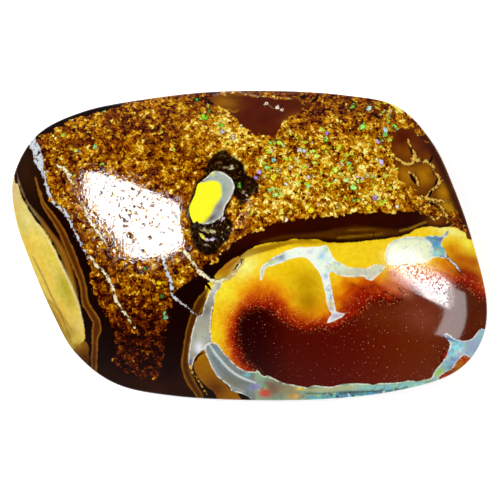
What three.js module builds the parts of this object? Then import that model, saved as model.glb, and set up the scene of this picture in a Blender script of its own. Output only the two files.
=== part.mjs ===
// Boulder opal: one piece of ironstone and opal, ground and polished to a low freeform dome.
// Millimetres, +Z up, the long way of the stone along X. The origin is the middle of its flat base.
// The surface is lofted through rings: a flat base, a rounded lower edge, the girdle where the
// stone is widest, and the dome above it. The dome's eye of opal lies in a shallow hollow.
import * as THREE from "three";

// Driving dimensions.
const LENGTH = 40;
const WIDTH = 26.1;
const HEIGHT = 9.3;
const GIRDLE_HEIGHT = 4.5;
const GIRDLE_WAVE = 0.3; // how far the girdle's line rises and falls round the stone
const BASE_SHARE = 0.85; // the flat base as a share of the outline
const BASE_WAVE = 0.02; // how far that share varies round the stone
const DOME_POWER = 2.3; // above 2 the dome is flatter on top and turns down faster at its rim
const RIM_POWER = 0.95; // under 1 the dome's rim rounds over into the side
const FACET_STEP = 0.8; // distance between rings, and between the points of a ring

// The stone's widest outline, seen from above, counter-clockwise from its right end.
const OUTLINE = [
  [18.9, 0.0],
  [17.3, 4.7],
  [15.4, 8.7],
  [12.4, 11.75],
  [7.8, 12.72],
  [2.2, 13.07],
  [-3.6, 12.97],
  [-9.0, 12.35],
  [-14.0, 11.35],
  [-17.9, 9.4],
  [-19.9, 6.0],
  [-19.85, 2.6],
  [-18.6, -1.2],
  [-16.7, -5.6],
  [-14.7, -9.1],
  [-11.3, -11.7],
  [-6.4, -12.72],
  [0.0, -13.07],
  [6.5, -12.97],
  [12.3, -12.3],
  [17.0, -10.9],
  [19.4, -8.4],
  [20.0, -4.9],
];

// Long swells that hand grinding leaves in the dome: height, waves along X and Y, and phase.
const SWELLS = [
  { height: 0.12, alongX: 0.24, alongY: 0.11, phase: 0.6 },
  { height: 0.08, alongX: -0.17, alongY: 0.33, phase: 2.1 },
  { height: 0.06, alongX: 0.41, alongY: -0.36, phase: 4.0 },
];

// The oval hollow round the eye, whose rough ground polishes lower than the rest.
const POCKET = { x: -2.5, y: 3.6, long: 4.7, short: 3.3, turn: 1.25, depth: 0.12 };
const POCKET_RIM = 0.5; // share of the hollow's radius over which its wall slopes

const smoothstep = THREE.MathUtils.smoothstep;

const outlineCurve = new THREE.CatmullRomCurve3(
  OUTLINE.map(([x, y]) => new THREE.Vector3(x, y, 0)),
  true,
  "catmullrom",
  0.5,
);
const outlineBox = new THREE.Box3().setFromPoints(outlineCurve.getPoints(1000));
const outlineMiddle = outlineBox.getCenter(new THREE.Vector3());
const outlineSize = outlineBox.getSize(new THREE.Vector3());

// The outline's point at a share of the way round, fitted to LENGTH by WIDTH about the origin.
function outlinePoint(share) {
  const point = outlineCurve.getPoint(share).sub(outlineMiddle);
  point.x *= LENGTH / outlineSize.x;
  point.y *= WIDTH / outlineSize.y;
  return point;
}

// The point of a ring that is `scale` of the outline. Near the middle of the stone the rings turn
// into ellipses, so the outline's corners leave no ridges across the dome.
function ringPoint(share, scale) {
  const edge = outlinePoint(share);
  const angle = Math.atan2(edge.y / WIDTH, edge.x / LENGTH);
  const ellipse = new THREE.Vector3(
    (LENGTH / 2) * Math.cos(angle),
    (WIDTH / 2) * Math.sin(angle),
    0,
  );
  return ellipse.lerp(edge, smoothstep(scale, 0, 1)).multiplyScalar(scale);
}

// How deep the hollow is at a point: its full depth on its floor, and nothing outside it.
function pocketDepth(x, y) {
  const alongX = x - POCKET.x;
  const alongY = y - POCKET.y;
  const cos = Math.cos(POCKET.turn);
  const sin = Math.sin(POCKET.turn);
  const along = (alongX * cos + alongY * sin) / POCKET.long;
  const across = (alongY * cos - alongX * sin) / POCKET.short;
  const radius = Math.hypot(along, across);
  return POCKET.depth * (1 - smoothstep(radius, 1 - POCKET_RIM, 1));
}

// What the swells and the hollow add to the dome's height. The swells fade out at the girdle.
function relief(x, y, scale) {
  let height = 0;
  for (const swell of SWELLS)
    height += swell.height * Math.sin(swell.alongX * x + swell.alongY * y + swell.phase);
  height *= 1 - scale ** 4;
  return height - pocketDepth(x, y);
}

// The girdle's line and the base's edge wander a little round the stone.
function girdleLift(share) {
  const turn = 2 * Math.PI * share;
  return GIRDLE_WAVE * (Math.sin(2 * turn + 0.8) + 0.5 * Math.sin(5 * turn + 2.6));
}

function baseShare(share) {
  const turn = 2 * Math.PI * share;
  return BASE_SHARE + BASE_WAVE * Math.sin(3 * turn + 1.3);
}

// A point of the rounded lower edge: rise runs from 0 at the flat base to 1 at the girdle.
function lowerEdgePoint(share, rise) {
  const angle = (rise * Math.PI) / 2;
  const inner = baseShare(share);
  const point = ringPoint(share, inner + (1 - inner) * Math.sin(angle));
  point.z = GIRDLE_HEIGHT * (1 - Math.cos(angle));
  point.z += girdleLift(share) * Math.sin((Math.PI * point.z) / HEIGHT);
  return point;
}

// A point of the dome: rise runs from 0 at the girdle to 1 at the top.
function domePoint(share, rise) {
  const scale = 1 - rise;
  const point = ringPoint(share, scale);
  const bulge = (1 - scale ** DOME_POWER) ** RIM_POWER;
  point.z = GIRDLE_HEIGHT + (HEIGHT - GIRDLE_HEIGHT) * bulge;
  point.z += girdleLift(share) * Math.sin((Math.PI * point.z) / HEIGHT);
  point.z += relief(point.x, point.y, scale);
  return point;
}

// A whole ring of points, as many as its length asks for.
function ring(pointAt, rise) {
  const sample = Array.from({ length: 72 }, (_, index) => pointAt(index / 72, rise));
  let around = 0;
  sample.forEach((point, index) => {
    around += point.distanceTo(sample[(index + 1) % sample.length]);
  });
  const count = Math.max(6, Math.round(around / FACET_STEP));
  return Array.from({ length: count }, (_, index) => pointAt(index / count, rise));
}

// The rises at which rings lie FACET_STEP apart, measured along the stone's long section.
function evenRises(pointAt) {
  const fine = 400;
  const lengths = [0];
  for (let index = 1; index <= fine; index += 1) {
    const step = pointAt(0, index / fine).distanceTo(pointAt(0, (index - 1) / fine));
    lengths.push(lengths[index - 1] + step);
  }
  const count = Math.round(lengths[fine] / FACET_STEP);
  return Array.from({ length: count + 1 }, (_, step) => {
    const wanted = (lengths[fine] * step) / count;
    return lengths.findIndex((length) => length >= wanted - 1e-9) / fine;
  });
}

// Joins two rings, whatever their counts, with a strip of triangles that face outwards.
// Each ring is given as its first index and its count, the lower ring first.
function zip(indices, lower, upper) {
  let below = 0;
  let above = 0;
  while (below < lower.count || above < upper.count) {
    const low = lower.first + (below % lower.count);
    const high = upper.first + (above % upper.count);
    const nextBelow = (below + 1) / lower.count;
    const nextAbove = (above + 1) / upper.count;
    if (nextBelow <= nextAbove) {
      below += 1;
      indices.push(low, lower.first + (below % lower.count), high);
    } else {
      above += 1;
      indices.push(low, upper.first + (above % upper.count), high);
    }
  }
}

function stoneGeometry() {
  const lowerRings = evenRises(lowerEdgePoint).map((rise) => ring(lowerEdgePoint, rise));
  // The dome's first ring is the girdle, which the lower edge already has, and its last rise is
  // the top, which is a single point.
  const domeRings = evenRises(domePoint)
    .slice(1, -1)
    .map((rise) => ring(domePoint, rise));
  const rings = [...lowerRings, ...domeRings];

  const points = [];
  const spans = [];
  for (const ringPoints of rings) {
    spans.push({ first: points.length, count: ringPoints.length });
    points.push(...ringPoints);
  }
  const top = points.length;
  points.push(domePoint(0, 1));

  const indices = [];
  const base = rings[0].map((point) => new THREE.Vector2(point.x, point.y));
  for (const [a, b, c] of THREE.ShapeUtils.triangulateShape(base, []))
    indices.push(a, c, b);
  for (let index = 1; index < spans.length; index += 1)
    zip(indices, spans[index - 1], spans[index]);
  const last = spans[spans.length - 1];
  for (let index = 0; index < last.count; index += 1)
    indices.push(last.first + index, last.first + ((index + 1) % last.count), top);

  const geometry = new THREE.BufferGeometry().setFromPoints(points);
  geometry.setIndex(indices);
  geometry.computeVertexNormals();
  return geometry;
}

const ironstone = new THREE.MeshStandardMaterial({
  color: 0x6b3a10,
  roughness: 0.2,
  metalness: 0,
});

const boulderOpal = new THREE.Group();
const stone = new THREE.Mesh(stoneGeometry(), ironstone);
stone.name = "boulder_opal";
boulderOpal.add(stone);

export default boulderOpal;
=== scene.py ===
"""Boulder opal: the finished surface of one polished freeform stone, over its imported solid.

The stone's form is the same loft as the solid's, made finer, with its pits and cracks cut in. Its
markings are outlines in pixels of the 500 x 500 photograph. Each vertex knows its own pixel and
how far that lies from every outline, and the material turns those distances into sharp edges.
"""

import math

import bpy
import numpy as np
from mathutils import Matrix, Vector, noise


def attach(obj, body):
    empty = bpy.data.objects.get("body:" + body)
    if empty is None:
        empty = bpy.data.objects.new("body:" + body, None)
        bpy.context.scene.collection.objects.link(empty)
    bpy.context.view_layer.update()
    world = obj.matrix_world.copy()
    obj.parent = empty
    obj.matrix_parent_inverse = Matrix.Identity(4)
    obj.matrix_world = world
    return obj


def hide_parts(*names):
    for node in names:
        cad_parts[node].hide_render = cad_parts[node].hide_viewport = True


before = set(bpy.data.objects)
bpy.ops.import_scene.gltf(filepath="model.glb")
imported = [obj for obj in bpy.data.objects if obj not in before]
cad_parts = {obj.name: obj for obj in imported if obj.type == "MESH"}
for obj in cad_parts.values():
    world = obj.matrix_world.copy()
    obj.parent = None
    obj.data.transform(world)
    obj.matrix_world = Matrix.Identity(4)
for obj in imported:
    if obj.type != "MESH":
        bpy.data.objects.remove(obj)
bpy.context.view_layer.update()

MM = 0.001

# The stone's form, in millimetres, as the solid has it.
LENGTH = 40.0
WIDTH = 26.1
HEIGHT = 9.3
GIRDLE_HEIGHT = 4.5
GIRDLE_WAVE = 0.3
GIRDLE_WAVES = [(2, 0.8, 1.0), (5, 2.6, 0.5)]  # waves round the stone, phase and share
BASE_SHARE = 0.85
BASE_WAVE = 0.02
BASE_WAVES_ROUND = 3
BASE_PHASE = 1.3
DOME_POWER = 2.3
RIM_POWER = 0.95
OUTLINE = [
    (18.9, 0.0), (17.3, 4.7), (15.4, 8.7), (12.4, 11.75), (7.8, 12.72), (2.2, 13.07),
    (-3.6, 12.97), (-9.0, 12.35), (-14.0, 11.35), (-17.9, 9.4), (-19.9, 6.0), (-19.85, 2.6),
    (-18.6, -1.2), (-16.7, -5.6), (-14.7, -9.1), (-11.3, -11.7), (-6.4, -12.72), (0.0, -13.07),
    (6.5, -12.97), (12.3, -12.3), (17.0, -10.9), (19.4, -8.4), (20.0, -4.9),
]
# Height, waves along X and Y, and phase of each swell.
SWELLS = [(0.12, 0.24, 0.11, 0.6), (0.08, -0.17, 0.33, 2.1), (0.06, 0.41, -0.36, 4.0)]
# Middle, long and short radius, turn and depth.
POCKET = (-2.5, 3.6, 4.7, 3.3, 1.25, 0.12)
POCKET_RIM = 0.5  # share of the hollow's radius over which its wall slopes

# The fine surface. Spacings and depths are in millimetres.
DOME_STEP = 0.118
LOWER_STEP = 0.3
OUTLINE_SAMPLES = 1000
RING_SAMPLES = 72
RISE_SAMPLES = 801
LEAST_IN_RING = 6
LEAST_IN_BASE_RING = 12
BASE_RINGS = (0.3, 0.6, 0.85, 0.97)  # the flat base's rings, as shares of its edge
SLIT_DEPTH = 0.008
PIT_DEPTH = 0.03
SAND_SINKS = 0.012  # the sandy ironstone polishes a little lower than the opal

# The photograph's frame.
FRAME_PIXELS = 500
FRAME_MIDDLE = FRAME_PIXELS / 2
FAR = 40.0  # pixels: distances are capped here
CURVE_STEPS = 4  # straight steps between two points of an outline or line
OVAL_POINTS = 8
SHADE_BLEND = 0.7  # pixels by which the shapes of one layer run into each other
UNROLLING = 1.08  # how much the surface under the girdle is stretched where it is rolled out
STONE_PIXELS = 475
PIXEL = LENGTH / STONE_PIXELS  # one pixel in millimetres, at the girdle
STONE_MIDDLE_PX = (249.5, 245.5)

# The camera looks straight down. Its distance and its sensor are in millimetres.
CAMERA_DISTANCE = 450.0
SENSOR = 36.0
CLIP_NEAR = 0.01  # metres
CLIP_FAR = 10.0


def smoothstep(value, low, high):
    share = np.clip((value - low) / (high - low), 0.0, 1.0)
    return share * share * (3 - 2 * share)


# The form

def curve_between(before, here, there, after, along):
    """Places on a Catmull-Rom curve from here to there, at shares along it."""
    leave = (there - before) / 2
    arrive = (after - here) / 2
    cubic = 2 * here - 2 * there + leave + arrive
    square = -3 * here + 3 * there - 2 * leave - arrive
    return cubic * along**3 + square * along**2 + leave * along + here


def closed_curve(points, shares):
    """A closed Catmull-Rom curve through the points, at shares of the way round."""
    points = np.asarray(points, float)
    count = len(points)
    place = np.asarray(shares) * count
    start = np.floor(place).astype(int)
    corners = [points[(start + step) % count] for step in (-1, 0, 1, 2)]
    return curve_between(*corners, (place - start)[:, None])


def outline_points(shares):
    """The outline, fitted to LENGTH by WIDTH about the origin."""
    whole = closed_curve(OUTLINE, np.arange(OUTLINE_SAMPLES) / OUTLINE_SAMPLES)
    low = whole.min(axis=0)
    high = whole.max(axis=0)
    return (closed_curve(OUTLINE, shares) - (low + high) / 2) * [LENGTH, WIDTH] / (high - low)


def ring_points(shares, scale):
    """A ring that is scale times the outline, turning into an ellipse towards the middle."""
    edge = outline_points(shares)
    angle = np.arctan2(edge[:, 1] / WIDTH, edge[:, 0] / LENGTH)
    ellipse = np.stack([LENGTH / 2 * np.cos(angle), WIDTH / 2 * np.sin(angle)], axis=1)
    blend = smoothstep(np.broadcast_to(scale, shares.shape), 0, 1)[:, None]
    return (ellipse * (1 - blend) + edge * blend) * np.broadcast_to(scale, shares.shape)[:, None]


def pocket_depth(x, y):
    """How deep the hollow round the eye is at a place."""
    middle_x, middle_y, long, short, turn, depth = POCKET
    along = ((x - middle_x) * math.cos(turn) + (y - middle_y) * math.sin(turn)) / long
    across = ((y - middle_y) * math.cos(turn) - (x - middle_x) * math.sin(turn)) / short
    return depth * (1 - smoothstep(np.hypot(along, across), 1 - POCKET_RIM, 1))


def relief(x, y, scale):
    """What the swells and the hollow add to the dome's height."""
    swell = sum(h * np.sin(along_x * x + along_y * y + phase) for h, along_x, along_y, phase in SWELLS)
    return swell * (1 - scale**4) - pocket_depth(x, y)


def lift(shares, z):
    """The girdle's line rises and falls round the stone."""
    turn = 2 * math.pi * shares
    wave = sum(share * np.sin(waves * turn + phase) for waves, phase, share in GIRDLE_WAVES)
    return z + GIRDLE_WAVE * wave * np.sin(math.pi * z / HEIGHT)


def lower_edge(shares, rise):
    """A ring of the rounded lower edge: rise is 0 at the flat base and 1 at the girdle."""
    angle = rise * math.pi / 2
    inner = BASE_SHARE + BASE_WAVE * np.sin(BASE_WAVES_ROUND * 2 * math.pi * shares + BASE_PHASE)
    flat = ring_points(shares, inner + (1 - inner) * math.sin(angle))
    z = np.full(len(shares), GIRDLE_HEIGHT * (1 - math.cos(angle)))
    return np.column_stack([flat, lift(shares, z)])


def dome(shares, rise):
    """A ring of the dome: rise is 0 at the girdle and 1 at the top."""
    scale = 1 - rise
    flat = ring_points(shares, scale)
    bulge = (1 - scale**DOME_POWER) ** RIM_POWER
    z = lift(shares, np.full(len(shares), GIRDLE_HEIGHT + (HEIGHT - GIRDLE_HEIGHT) * bulge))
    z += relief(flat[:, 0], flat[:, 1], scale)
    return np.column_stack([flat, z])


def length_round(points):
    return np.linalg.norm(points - np.roll(points, -1, axis=0), axis=1).sum()


def even_rises(ring_at, step):
    """Rises at which rings lie a step apart along the stone's long section."""
    fine = np.linspace(0, 1, RISE_SAMPLES)
    section = np.array([ring_at(np.zeros(1), rise)[0] for rise in fine])
    lengths = np.concatenate([[0], np.cumsum(np.linalg.norm(np.diff(section, axis=0), axis=1))])
    wanted = np.linspace(0, lengths[-1], round(lengths[-1] / step) + 1)
    return np.interp(wanted, lengths, fine)


def zip_rings(lower, upper):
    """Triangles between two rings, each given as its first index and its count."""
    triangles = []
    below = above = 0
    while below < lower[1] or above < upper[1]:
        low = lower[0] + below % lower[1]
        high = upper[0] + above % upper[1]
        if (below + 1) * upper[1] <= (above + 1) * lower[1]:
            below += 1
            triangles.append((low, lower[0] + below % lower[1], high))
        else:
            above += 1
            triangles.append((low, upper[0] + above % upper[1], high))
    return triangles


def loft_stone():
    """The fine loft: points, triangles, and each point's share round and rise.

    A rise runs from -2 in the middle of the base to -1 at its edge, 0 at the girdle and 1 on top.
    """
    table = [(lower_edge, rise, rise - 1, LOWER_STEP) for rise in even_rises(lower_edge, LOWER_STEP)]
    table += [(dome, rise, rise, DOME_STEP) for rise in even_rises(dome, DOME_STEP)[1:-1]]
    rings = []
    sample = np.arange(RING_SAMPLES) / RING_SAMPLES
    for ring_at, rise, level, step in table:
        count = max(LEAST_IN_RING, round(length_round(ring_at(sample, rise)) / step))
        shares = np.arange(count) / count
        rings.append((ring_at(shares, rise), shares, np.full(count, level)))
    # The flat base is a few rings that close towards a middle point.
    edge = rings[0][0]
    base = []
    for scale in BASE_RINGS:
        count = max(LEAST_IN_BASE_RING, round(len(edge) * scale / 2))
        shares = np.arange(count) / count
        points = lower_edge(shares, 0.0) * [scale, scale, 0]
        base.append((points, shares, np.full(count, scale - 2)))
    rings = base + rings
    points = [np.zeros((1, 3))]
    shares = [np.zeros(1)]
    rises = [np.full(1, -2.0)]
    spans = []
    first = 1
    for ring, ring_shares, level in rings:
        points.append(ring)
        shares.append(ring_shares)
        rises.append(level)
        spans.append((first, len(ring)))
        first += len(ring)
    points.append(dome(np.zeros(1), 1.0))
    shares.append(np.zeros(1))
    rises.append(np.ones(1))
    start, count = spans[0]
    triangles = [(0, start + (i + 1) % count, start + i) for i in range(count)]
    for lower, upper in zip(spans[:-1], spans[1:]):
        triangles += zip_rings(lower, upper)
    start, count = spans[-1]
    triangles += [(start + i, start + (i + 1) % count, first) for i in range(count)]
    return np.concatenate(points), np.array(triangles), np.concatenate(shares), np.concatenate(rises)


# The photograph's pixels

def camera_place():
    """Where the camera stands, in millimetres, so that the frame's middle is the photograph's."""
    x = (FRAME_MIDDLE - STONE_MIDDLE_PX[0]) * PIXEL
    y = (STONE_MIDDLE_PX[1] - FRAME_MIDDLE) * PIXEL
    return x, y, GIRDLE_HEIGHT + CAMERA_DISTANCE


def to_pixels(points):
    """The pixel at which the camera sees each point."""
    x, y, z = camera_place()
    nearer = CAMERA_DISTANCE / (z - points[:, 2])
    across = FRAME_MIDDLE + (points[:, 0] - x) * nearer / PIXEL
    down = FRAME_MIDDLE - (points[:, 1] - y) * nearer / PIXEL
    return np.stack([across, down], axis=1)


def unrolled_pixels(points, shares, rises):
    """As to_pixels above the girdle. Below it the surface is rolled out flat past the outline."""
    pixels = to_pixels(points)
    under = rises < 0
    around = shares[under]
    girdle = lower_edge(around, 1.0)
    step = 1e-4
    along = outline_points(around + step) - outline_points(around - step)
    along /= np.linalg.norm(along, axis=1)[:, None]
    outwards = np.stack([along[:, 1], -along[:, 0]], axis=1)
    travelled = np.linalg.norm(points[under] - girdle, axis=1) * UNROLLING
    reach = travelled[:, None] / PIXEL * outwards * [1, -1]
    pixels[under] = to_pixels(girdle) + reach
    return pixels


# Distances to the markings

def open_curve(points):
    """Points on an open Catmull-Rom curve, whatever the points' columns mean."""
    points = np.asarray(points, float)
    padded = np.concatenate([2 * points[:1] - points[1:2], points, 2 * points[-1:] - points[-2:-1]])
    place = np.linspace(0, len(points) - 1, (len(points) - 1) * CURVE_STEPS + 1)
    start = np.minimum(place.astype(int), len(points) - 2)
    corners = [padded[start + step] for step in range(4)]
    return curve_between(*corners, (place - start)[:, None])


def along_segment(x, y, start, end):
    """Each point's nearest share of a segment, and its squared distance there."""
    across = end[0] - start[0]
    down = end[1] - start[1]
    share = ((x - start[0]) * across + (y - start[1]) * down) / (across**2 + down**2 + 1e-12)
    share = np.clip(share, 0, 1)
    return share, (x - start[0] - share * across)**2 + (y - start[1] - share * down)**2


def line_distance(x, y, line):
    """Distance past the rim of a line whose points have a width."""
    curve = open_curve(line)
    distance = np.full(len(x), FAR)
    for start, end in zip(curve[:-1], curve[1:]):
        share, square = along_segment(x, y, start, end)
        half_width = (start[2] + share * (end[2] - start[2])) / 2
        distance = np.minimum(distance, np.sqrt(square) - half_width)
    return distance


def outline_distance(x, y, outline):
    """Distance past a closed outline: below 0 inside."""
    count = CURVE_STEPS * len(outline)
    curve = closed_curve(outline, np.arange(count) / count)
    square = np.full(len(x), FAR**2)
    inside = np.zeros(len(x), bool)
    for start, end in zip(curve, np.roll(curve, -1, axis=0)):
        square = np.minimum(square, along_segment(x, y, start, end)[1])
        if start[1] != end[1]:
            crossing = start[0] + (y - start[1]) / (end[1] - start[1]) * (end[0] - start[0])
            inside ^= ((start[1] > y) != (end[1] > y)) & (x < crossing)
    return np.where(inside, -1, 1) * np.sqrt(square)


def shape_distance(pixels, shape):
    """Distance past a shape: an outline of x and y, or a line of x, y and width."""
    corners = np.asarray(shape, float)[:, :2]
    near = np.all((pixels > corners.min(axis=0) - FAR) & (pixels < corners.max(axis=0) + FAR), axis=1)
    distance = np.full(len(pixels), FAR)
    measure = line_distance if len(shape[0]) == 3 else outline_distance
    distance[near] = measure(*pixels[near].T, shape)
    return distance


def union_distance(pixels, shapes):
    distance = np.full(len(pixels), FAR)
    for shape in shapes:
        distance = np.minimum(distance, shape_distance(pixels, shape))
    return distance


def spot(pixels, x, y, across, down, turn=0):
    """A soft oval spot: 1 in its middle. A turn runs clockwise in the photograph, in degrees."""
    cos = math.cos(math.radians(turn))
    sin = math.sin(math.radians(turn))
    right = pixels[:, 0] - x
    below = pixels[:, 1] - y
    along = (right * cos + below * sin) / across
    aside = (below * cos - right * sin) / down
    return np.exp(-(along**2 + aside**2))


def sum_of_spots(pixels, spots):
    """The sum of soft spots, each with its amount."""
    return sum(amount * spot(pixels, *place) for *place, amount in spots)


def linear(colour):
    """A colour as the photograph shows it, as linear light."""
    share = np.asarray(colour, float) / 255
    return np.where(share <= 0.04045, share / 12.92, ((share + 0.055) / 1.055)**2.4)


def paint_layer(pixels, layer, tints, strokes):
    """Each vertex's distance past the layer's shapes, and the layer's colour there.

    Tints are soft spots and strokes soft lines, laid over the shapes' colours in that order.
    """
    edge = np.full(len(pixels), FAR)
    colour = np.zeros((len(pixels), 3))
    for shape, shade in layer:
        distance = shape_distance(pixels, shape)
        inside = 1 - smoothstep(distance, -SHADE_BLEND, SHADE_BLEND)
        share = np.where(distance < edge, 1.0, inside)[:, None]
        shades = shade(pixels) if callable(shade) else linear(shade)
        colour = colour * (1 - share) + shades * share
        edge = np.minimum(edge, distance)
    for *place, shade, strength in tints:
        share = strength * spot(pixels, *place)[:, None]
        colour = colour * (1 - share) + linear(shade) * share
    for line, shade, blur, strength in strokes:
        share = 1 - smoothstep(shape_distance(pixels, line), -blur, blur)[:, None]
        colour = colour * (1 - strength * share) + linear(shade) * strength * share
    return edge, colour


# The markings, in pixels

# Dark smooth ironstone: the left band, the foot of the stone and the band over the great nut.
SHELL_PX = [
    (24, 128), (31, 140), (34, 150), (37, 160), (42, 169), (45, 182), (48.4, 194), (55.4, 204),
    (63, 211.6), (67.4, 216.5), (70.9, 223.5), (74.4, 232), (79.3, 241.8), (84.2, 251),
    (88.4, 259), (91.2, 271), (90.5, 282.5), (94, 293), (99, 302), (104.6, 313), (111.8, 322),
    (112.7, 330), (115.4, 337), (114.5, 348), (115.4, 355), (113.6, 362), (120, 369),
    (132, 375), (146, 378), (156, 377), (160, 368), (162.7, 355), (164.5, 346), (165.4, 337),
    (166.3, 328), (168.9, 319), (168.9, 309.5), (172.5, 304), (170.7, 297), (175, 291),
    (182, 285), (190, 281), (197, 277), (201, 271), (204, 267), (207, 264), (217, 261),
    (220, 254), (227, 250), (234, 241), (250, 233), (266, 228), (282, 222), (302.6, 219),
    (320, 215.6), (339, 215.6), (352, 212.4), (385.6, 212.4), (409.5, 210.8), (418.8, 212),
    (426.5, 216), (434, 217), (442, 216), (447, 219.5), (447, 223), (452, 226), (440, 300),
    (480, 480), (250, 480), (60, 460), (-70, 300), (-60, 120), (0, 100),
]
TOP_LEFT_RIM_PX = [
    (24, 128), (31, 140), (45, 134.5), (52.6, 131), (71.8, 120), (89, 116), (102, 112),
    (115, 107), (126, 104), (132, 98), (120, 60), (0, 90),
]
TOP_PATCH_PX = [
    (237, 92), (248, 95), (266.7, 97.5), (281, 98.3), (296, 99), (299.7, 101), (307.8, 104),
    (310.7, 106), (302, 110.7), (296, 116), (285, 121), (281, 127), (277, 135), (271, 137),
    (262, 135), (254, 134.5), (244.7, 129), (237, 121), (230, 115.5), (226, 110), (218, 106.5),
    (212, 102), (214, 96), (224, 93.4),
]
RIGHT_PATCH_PX = [
    (392, 140), (393.5, 132), (403, 129), (409, 128), (416, 133), (424, 137), (431, 141),
    (470, 120), (540, 255), (470, 238), (466, 231), (461, 222), (456, 211), (449, 213),
    (441, 209), (433, 203), (425, 199), (421, 195), (414, 190), (405, 184), (400, 176),
    (398, 168), (395, 158), (391, 148),
]

# Yellow and brown jasper.
LENS_PX = [
    (10, 168), (14, 175.6), (15.4, 183), (18.2, 184.7), (20.4, 194), (26, 204.6), (31.6, 215),
    (39.3, 225), (44.9, 232), (50.5, 241), (56, 252), (61.8, 265), (66.7, 276), (71.6, 286.7),
    (73.4, 291.6), (78.8, 306.8), (82.3, 320), (85, 335.4), (84, 340.7), (76, 348), (66, 352),
    (54, 362), (20, 330), (-20, 230), (-12, 175),
]
UNDER_LENS_PX = [
    (66, 352), (76, 348), (84, 341), (88, 345), (88.6, 354), (88, 366), (84, 400), (50, 380),
]
NUT_PX = [
    (206, 285), (217, 281), (228, 275.5), (235, 270), (243, 261), (255, 247), (272, 242.5),
    (284, 242.5), (294, 239), (304, 240), (315, 239), (327, 242.5), (345, 242.5), (357, 242),
    (371.7, 240.4), (386, 239), (397, 236.7), (408, 234.5), (415.7, 229.4), (426.7, 226.5),
    (434, 227), (443, 227.4), (450, 227), (456, 228), (461, 231),
    (466, 233), (472, 240), (512, 232), (530, 300), (520, 352), (478, 386), (440, 392),
    (330, 396), (290, 396), (265, 392), (250, 385), (236, 376), (222, 366), (212, 352),
    (204, 340), (202, 320), (205, 300),
]
KIDNEY_PX = [
    (238, 329), (239, 321.6), (244, 314.6), (251, 311), (259.5, 309), (269, 310.4),
    (276, 316.7), (283, 322), (293, 327), (303.7, 330.7), (317.7, 330.7), (330, 331.4),
    (343, 325), (353, 319.5), (360.7, 314), (365, 309), (370.5, 304.7), (380.4, 303.3),
    (393.7, 304), (400.7, 300.5), (409, 294), (420, 292), (432, 290), (445, 287), (455, 288),
    (463, 288), (471, 293), (480, 300), (500, 306), (520, 350), (470, 350), (447, 348),
    (441, 360), (436, 372), (430, 380), (409, 386), (360, 390), (313, 390), (285, 388),
    (265, 380), (258, 370), (249.6, 364), (244, 357), (240, 346),
]
UPPER_STRIP_PX = [
    (214.2, 276.6), (218.6, 271), (225.7, 264.4), (233.9, 258.3), (238.5, 255.7), (239.9, 258),
    (240.3, 262), (237.4, 264.4), (230.8, 273), (224, 278), (218.6, 280.7),
]
TOP_STRIP_PX = [
    (242.4, 256.8, 4), (248, 254, 5.6), (256, 251, 6.4), (264, 248.8, 6.4), (272, 246.6, 6),
    (284, 243.6, 4.6), (298, 241.2, 3.4), (312, 240, 1.6),
]
LOWER_STRIP_PX = [
    (208, 288, 3), (204.4, 295, 6), (200.5, 303, 10), (194.5, 315, 8.6), (189.4, 332, 7.6),
    (186, 351, 6.6), (185.4, 366, 8), (190, 380, 8), (200, 396, 7),
]
FOOT_PATCH_PX = [
    (193.8, 365), (199, 352), (204.7, 350.5), (212, 364), (220, 378), (230, 389), (240, 397),
    (262, 430), (232, 430), (216, 395), (208.7, 388), (201, 381), (195.5, 373),
]
# A painted reflection: the bright yellow glint along the stone's top right edge, laid in as a jasper
# shape.
TOP_EDGE_GLINT_PX = [
    (379, 98.5, 1.6), (386, 100.4, 3.6), (393, 104.2, 4.4), (399, 109.2, 3.8), (402, 112.6, 1.6),
]

# Opal: seams, patches and the eye.
WYE_PX = [
    (260.7, 281), (260.2, 271.7), (262, 266), (266.5, 262.6), (271, 258.5), (279, 254.5),
    (287, 250.5), (295, 247.6), (306.7, 247), (318, 246.5), (326, 245.3), (329, 249.4),
    (334, 258), (340, 263), (345, 268), (345, 276.3), (338, 274.6), (329.6, 272.3),
    (331.3, 286.7), (334, 301), (336.5, 312), (345, 313.6), (336.5, 320), (327.3, 323.4),
    (329, 317.7), (332, 314), (328, 308), (325.6, 295), (322.7, 284), (320, 274), (315, 267),
    (309.5, 261), (303.8, 257.4), (295, 258), (287, 260.3), (278, 264.3), (266.5, 267.7),
    (264, 274),
]
CRESCENT_PX = [
    (333, 262), (342, 264), (349.7, 267.6), (360.7, 268.3), (368, 267.6), (374.6, 264.6),
    (380.5, 264.6), (385, 265.4), (382, 272), (376, 276.4), (371.7, 280.8), (366.5, 279.3),
    (363, 276.4), (349.7, 277), (342, 275.6), (335, 273.4),
]
PALE_OVAL_PX = [
    (385.6, 260), (385.6, 251.4), (389.3, 243.3), (397.4, 239), (408.4, 236.7), (423, 237.5),
    (429.6, 242.6), (432.6, 249), (432.6, 258), (423, 263), (401, 264.6), (389.3, 264.6),
]
BLUE_PATCH_PX = [
    (424.5, 237), (433, 235.5), (442, 236), (444.5, 233), (448.7, 230.6), (446, 236),
    (441.4, 244), (445, 250), (446.5, 256.5), (443.6, 258.7), (437.7, 256.5), (433.3, 258),
    (432, 249.2), (429.6, 242.6),
]
LEFT_SEAM_PX = [
    (216.7, 281.5), (212, 287), (209.3, 293), (205.3, 303), (201.3, 315), (197, 317),
    (191.5, 334.7), (190.6, 342), (188.6, 353), (188.2, 360.5), (189.6, 367.4), (191.5, 369),
    (194, 360), (199, 353), (203, 349.6), (205.6, 346), (211, 342), (211.4, 337.6),
    (210.4, 330), (210.8, 321.5), (212.4, 310), (214.2, 303), (214.8, 295), (218.4, 289.4),
    (222.5, 283),
]
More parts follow.
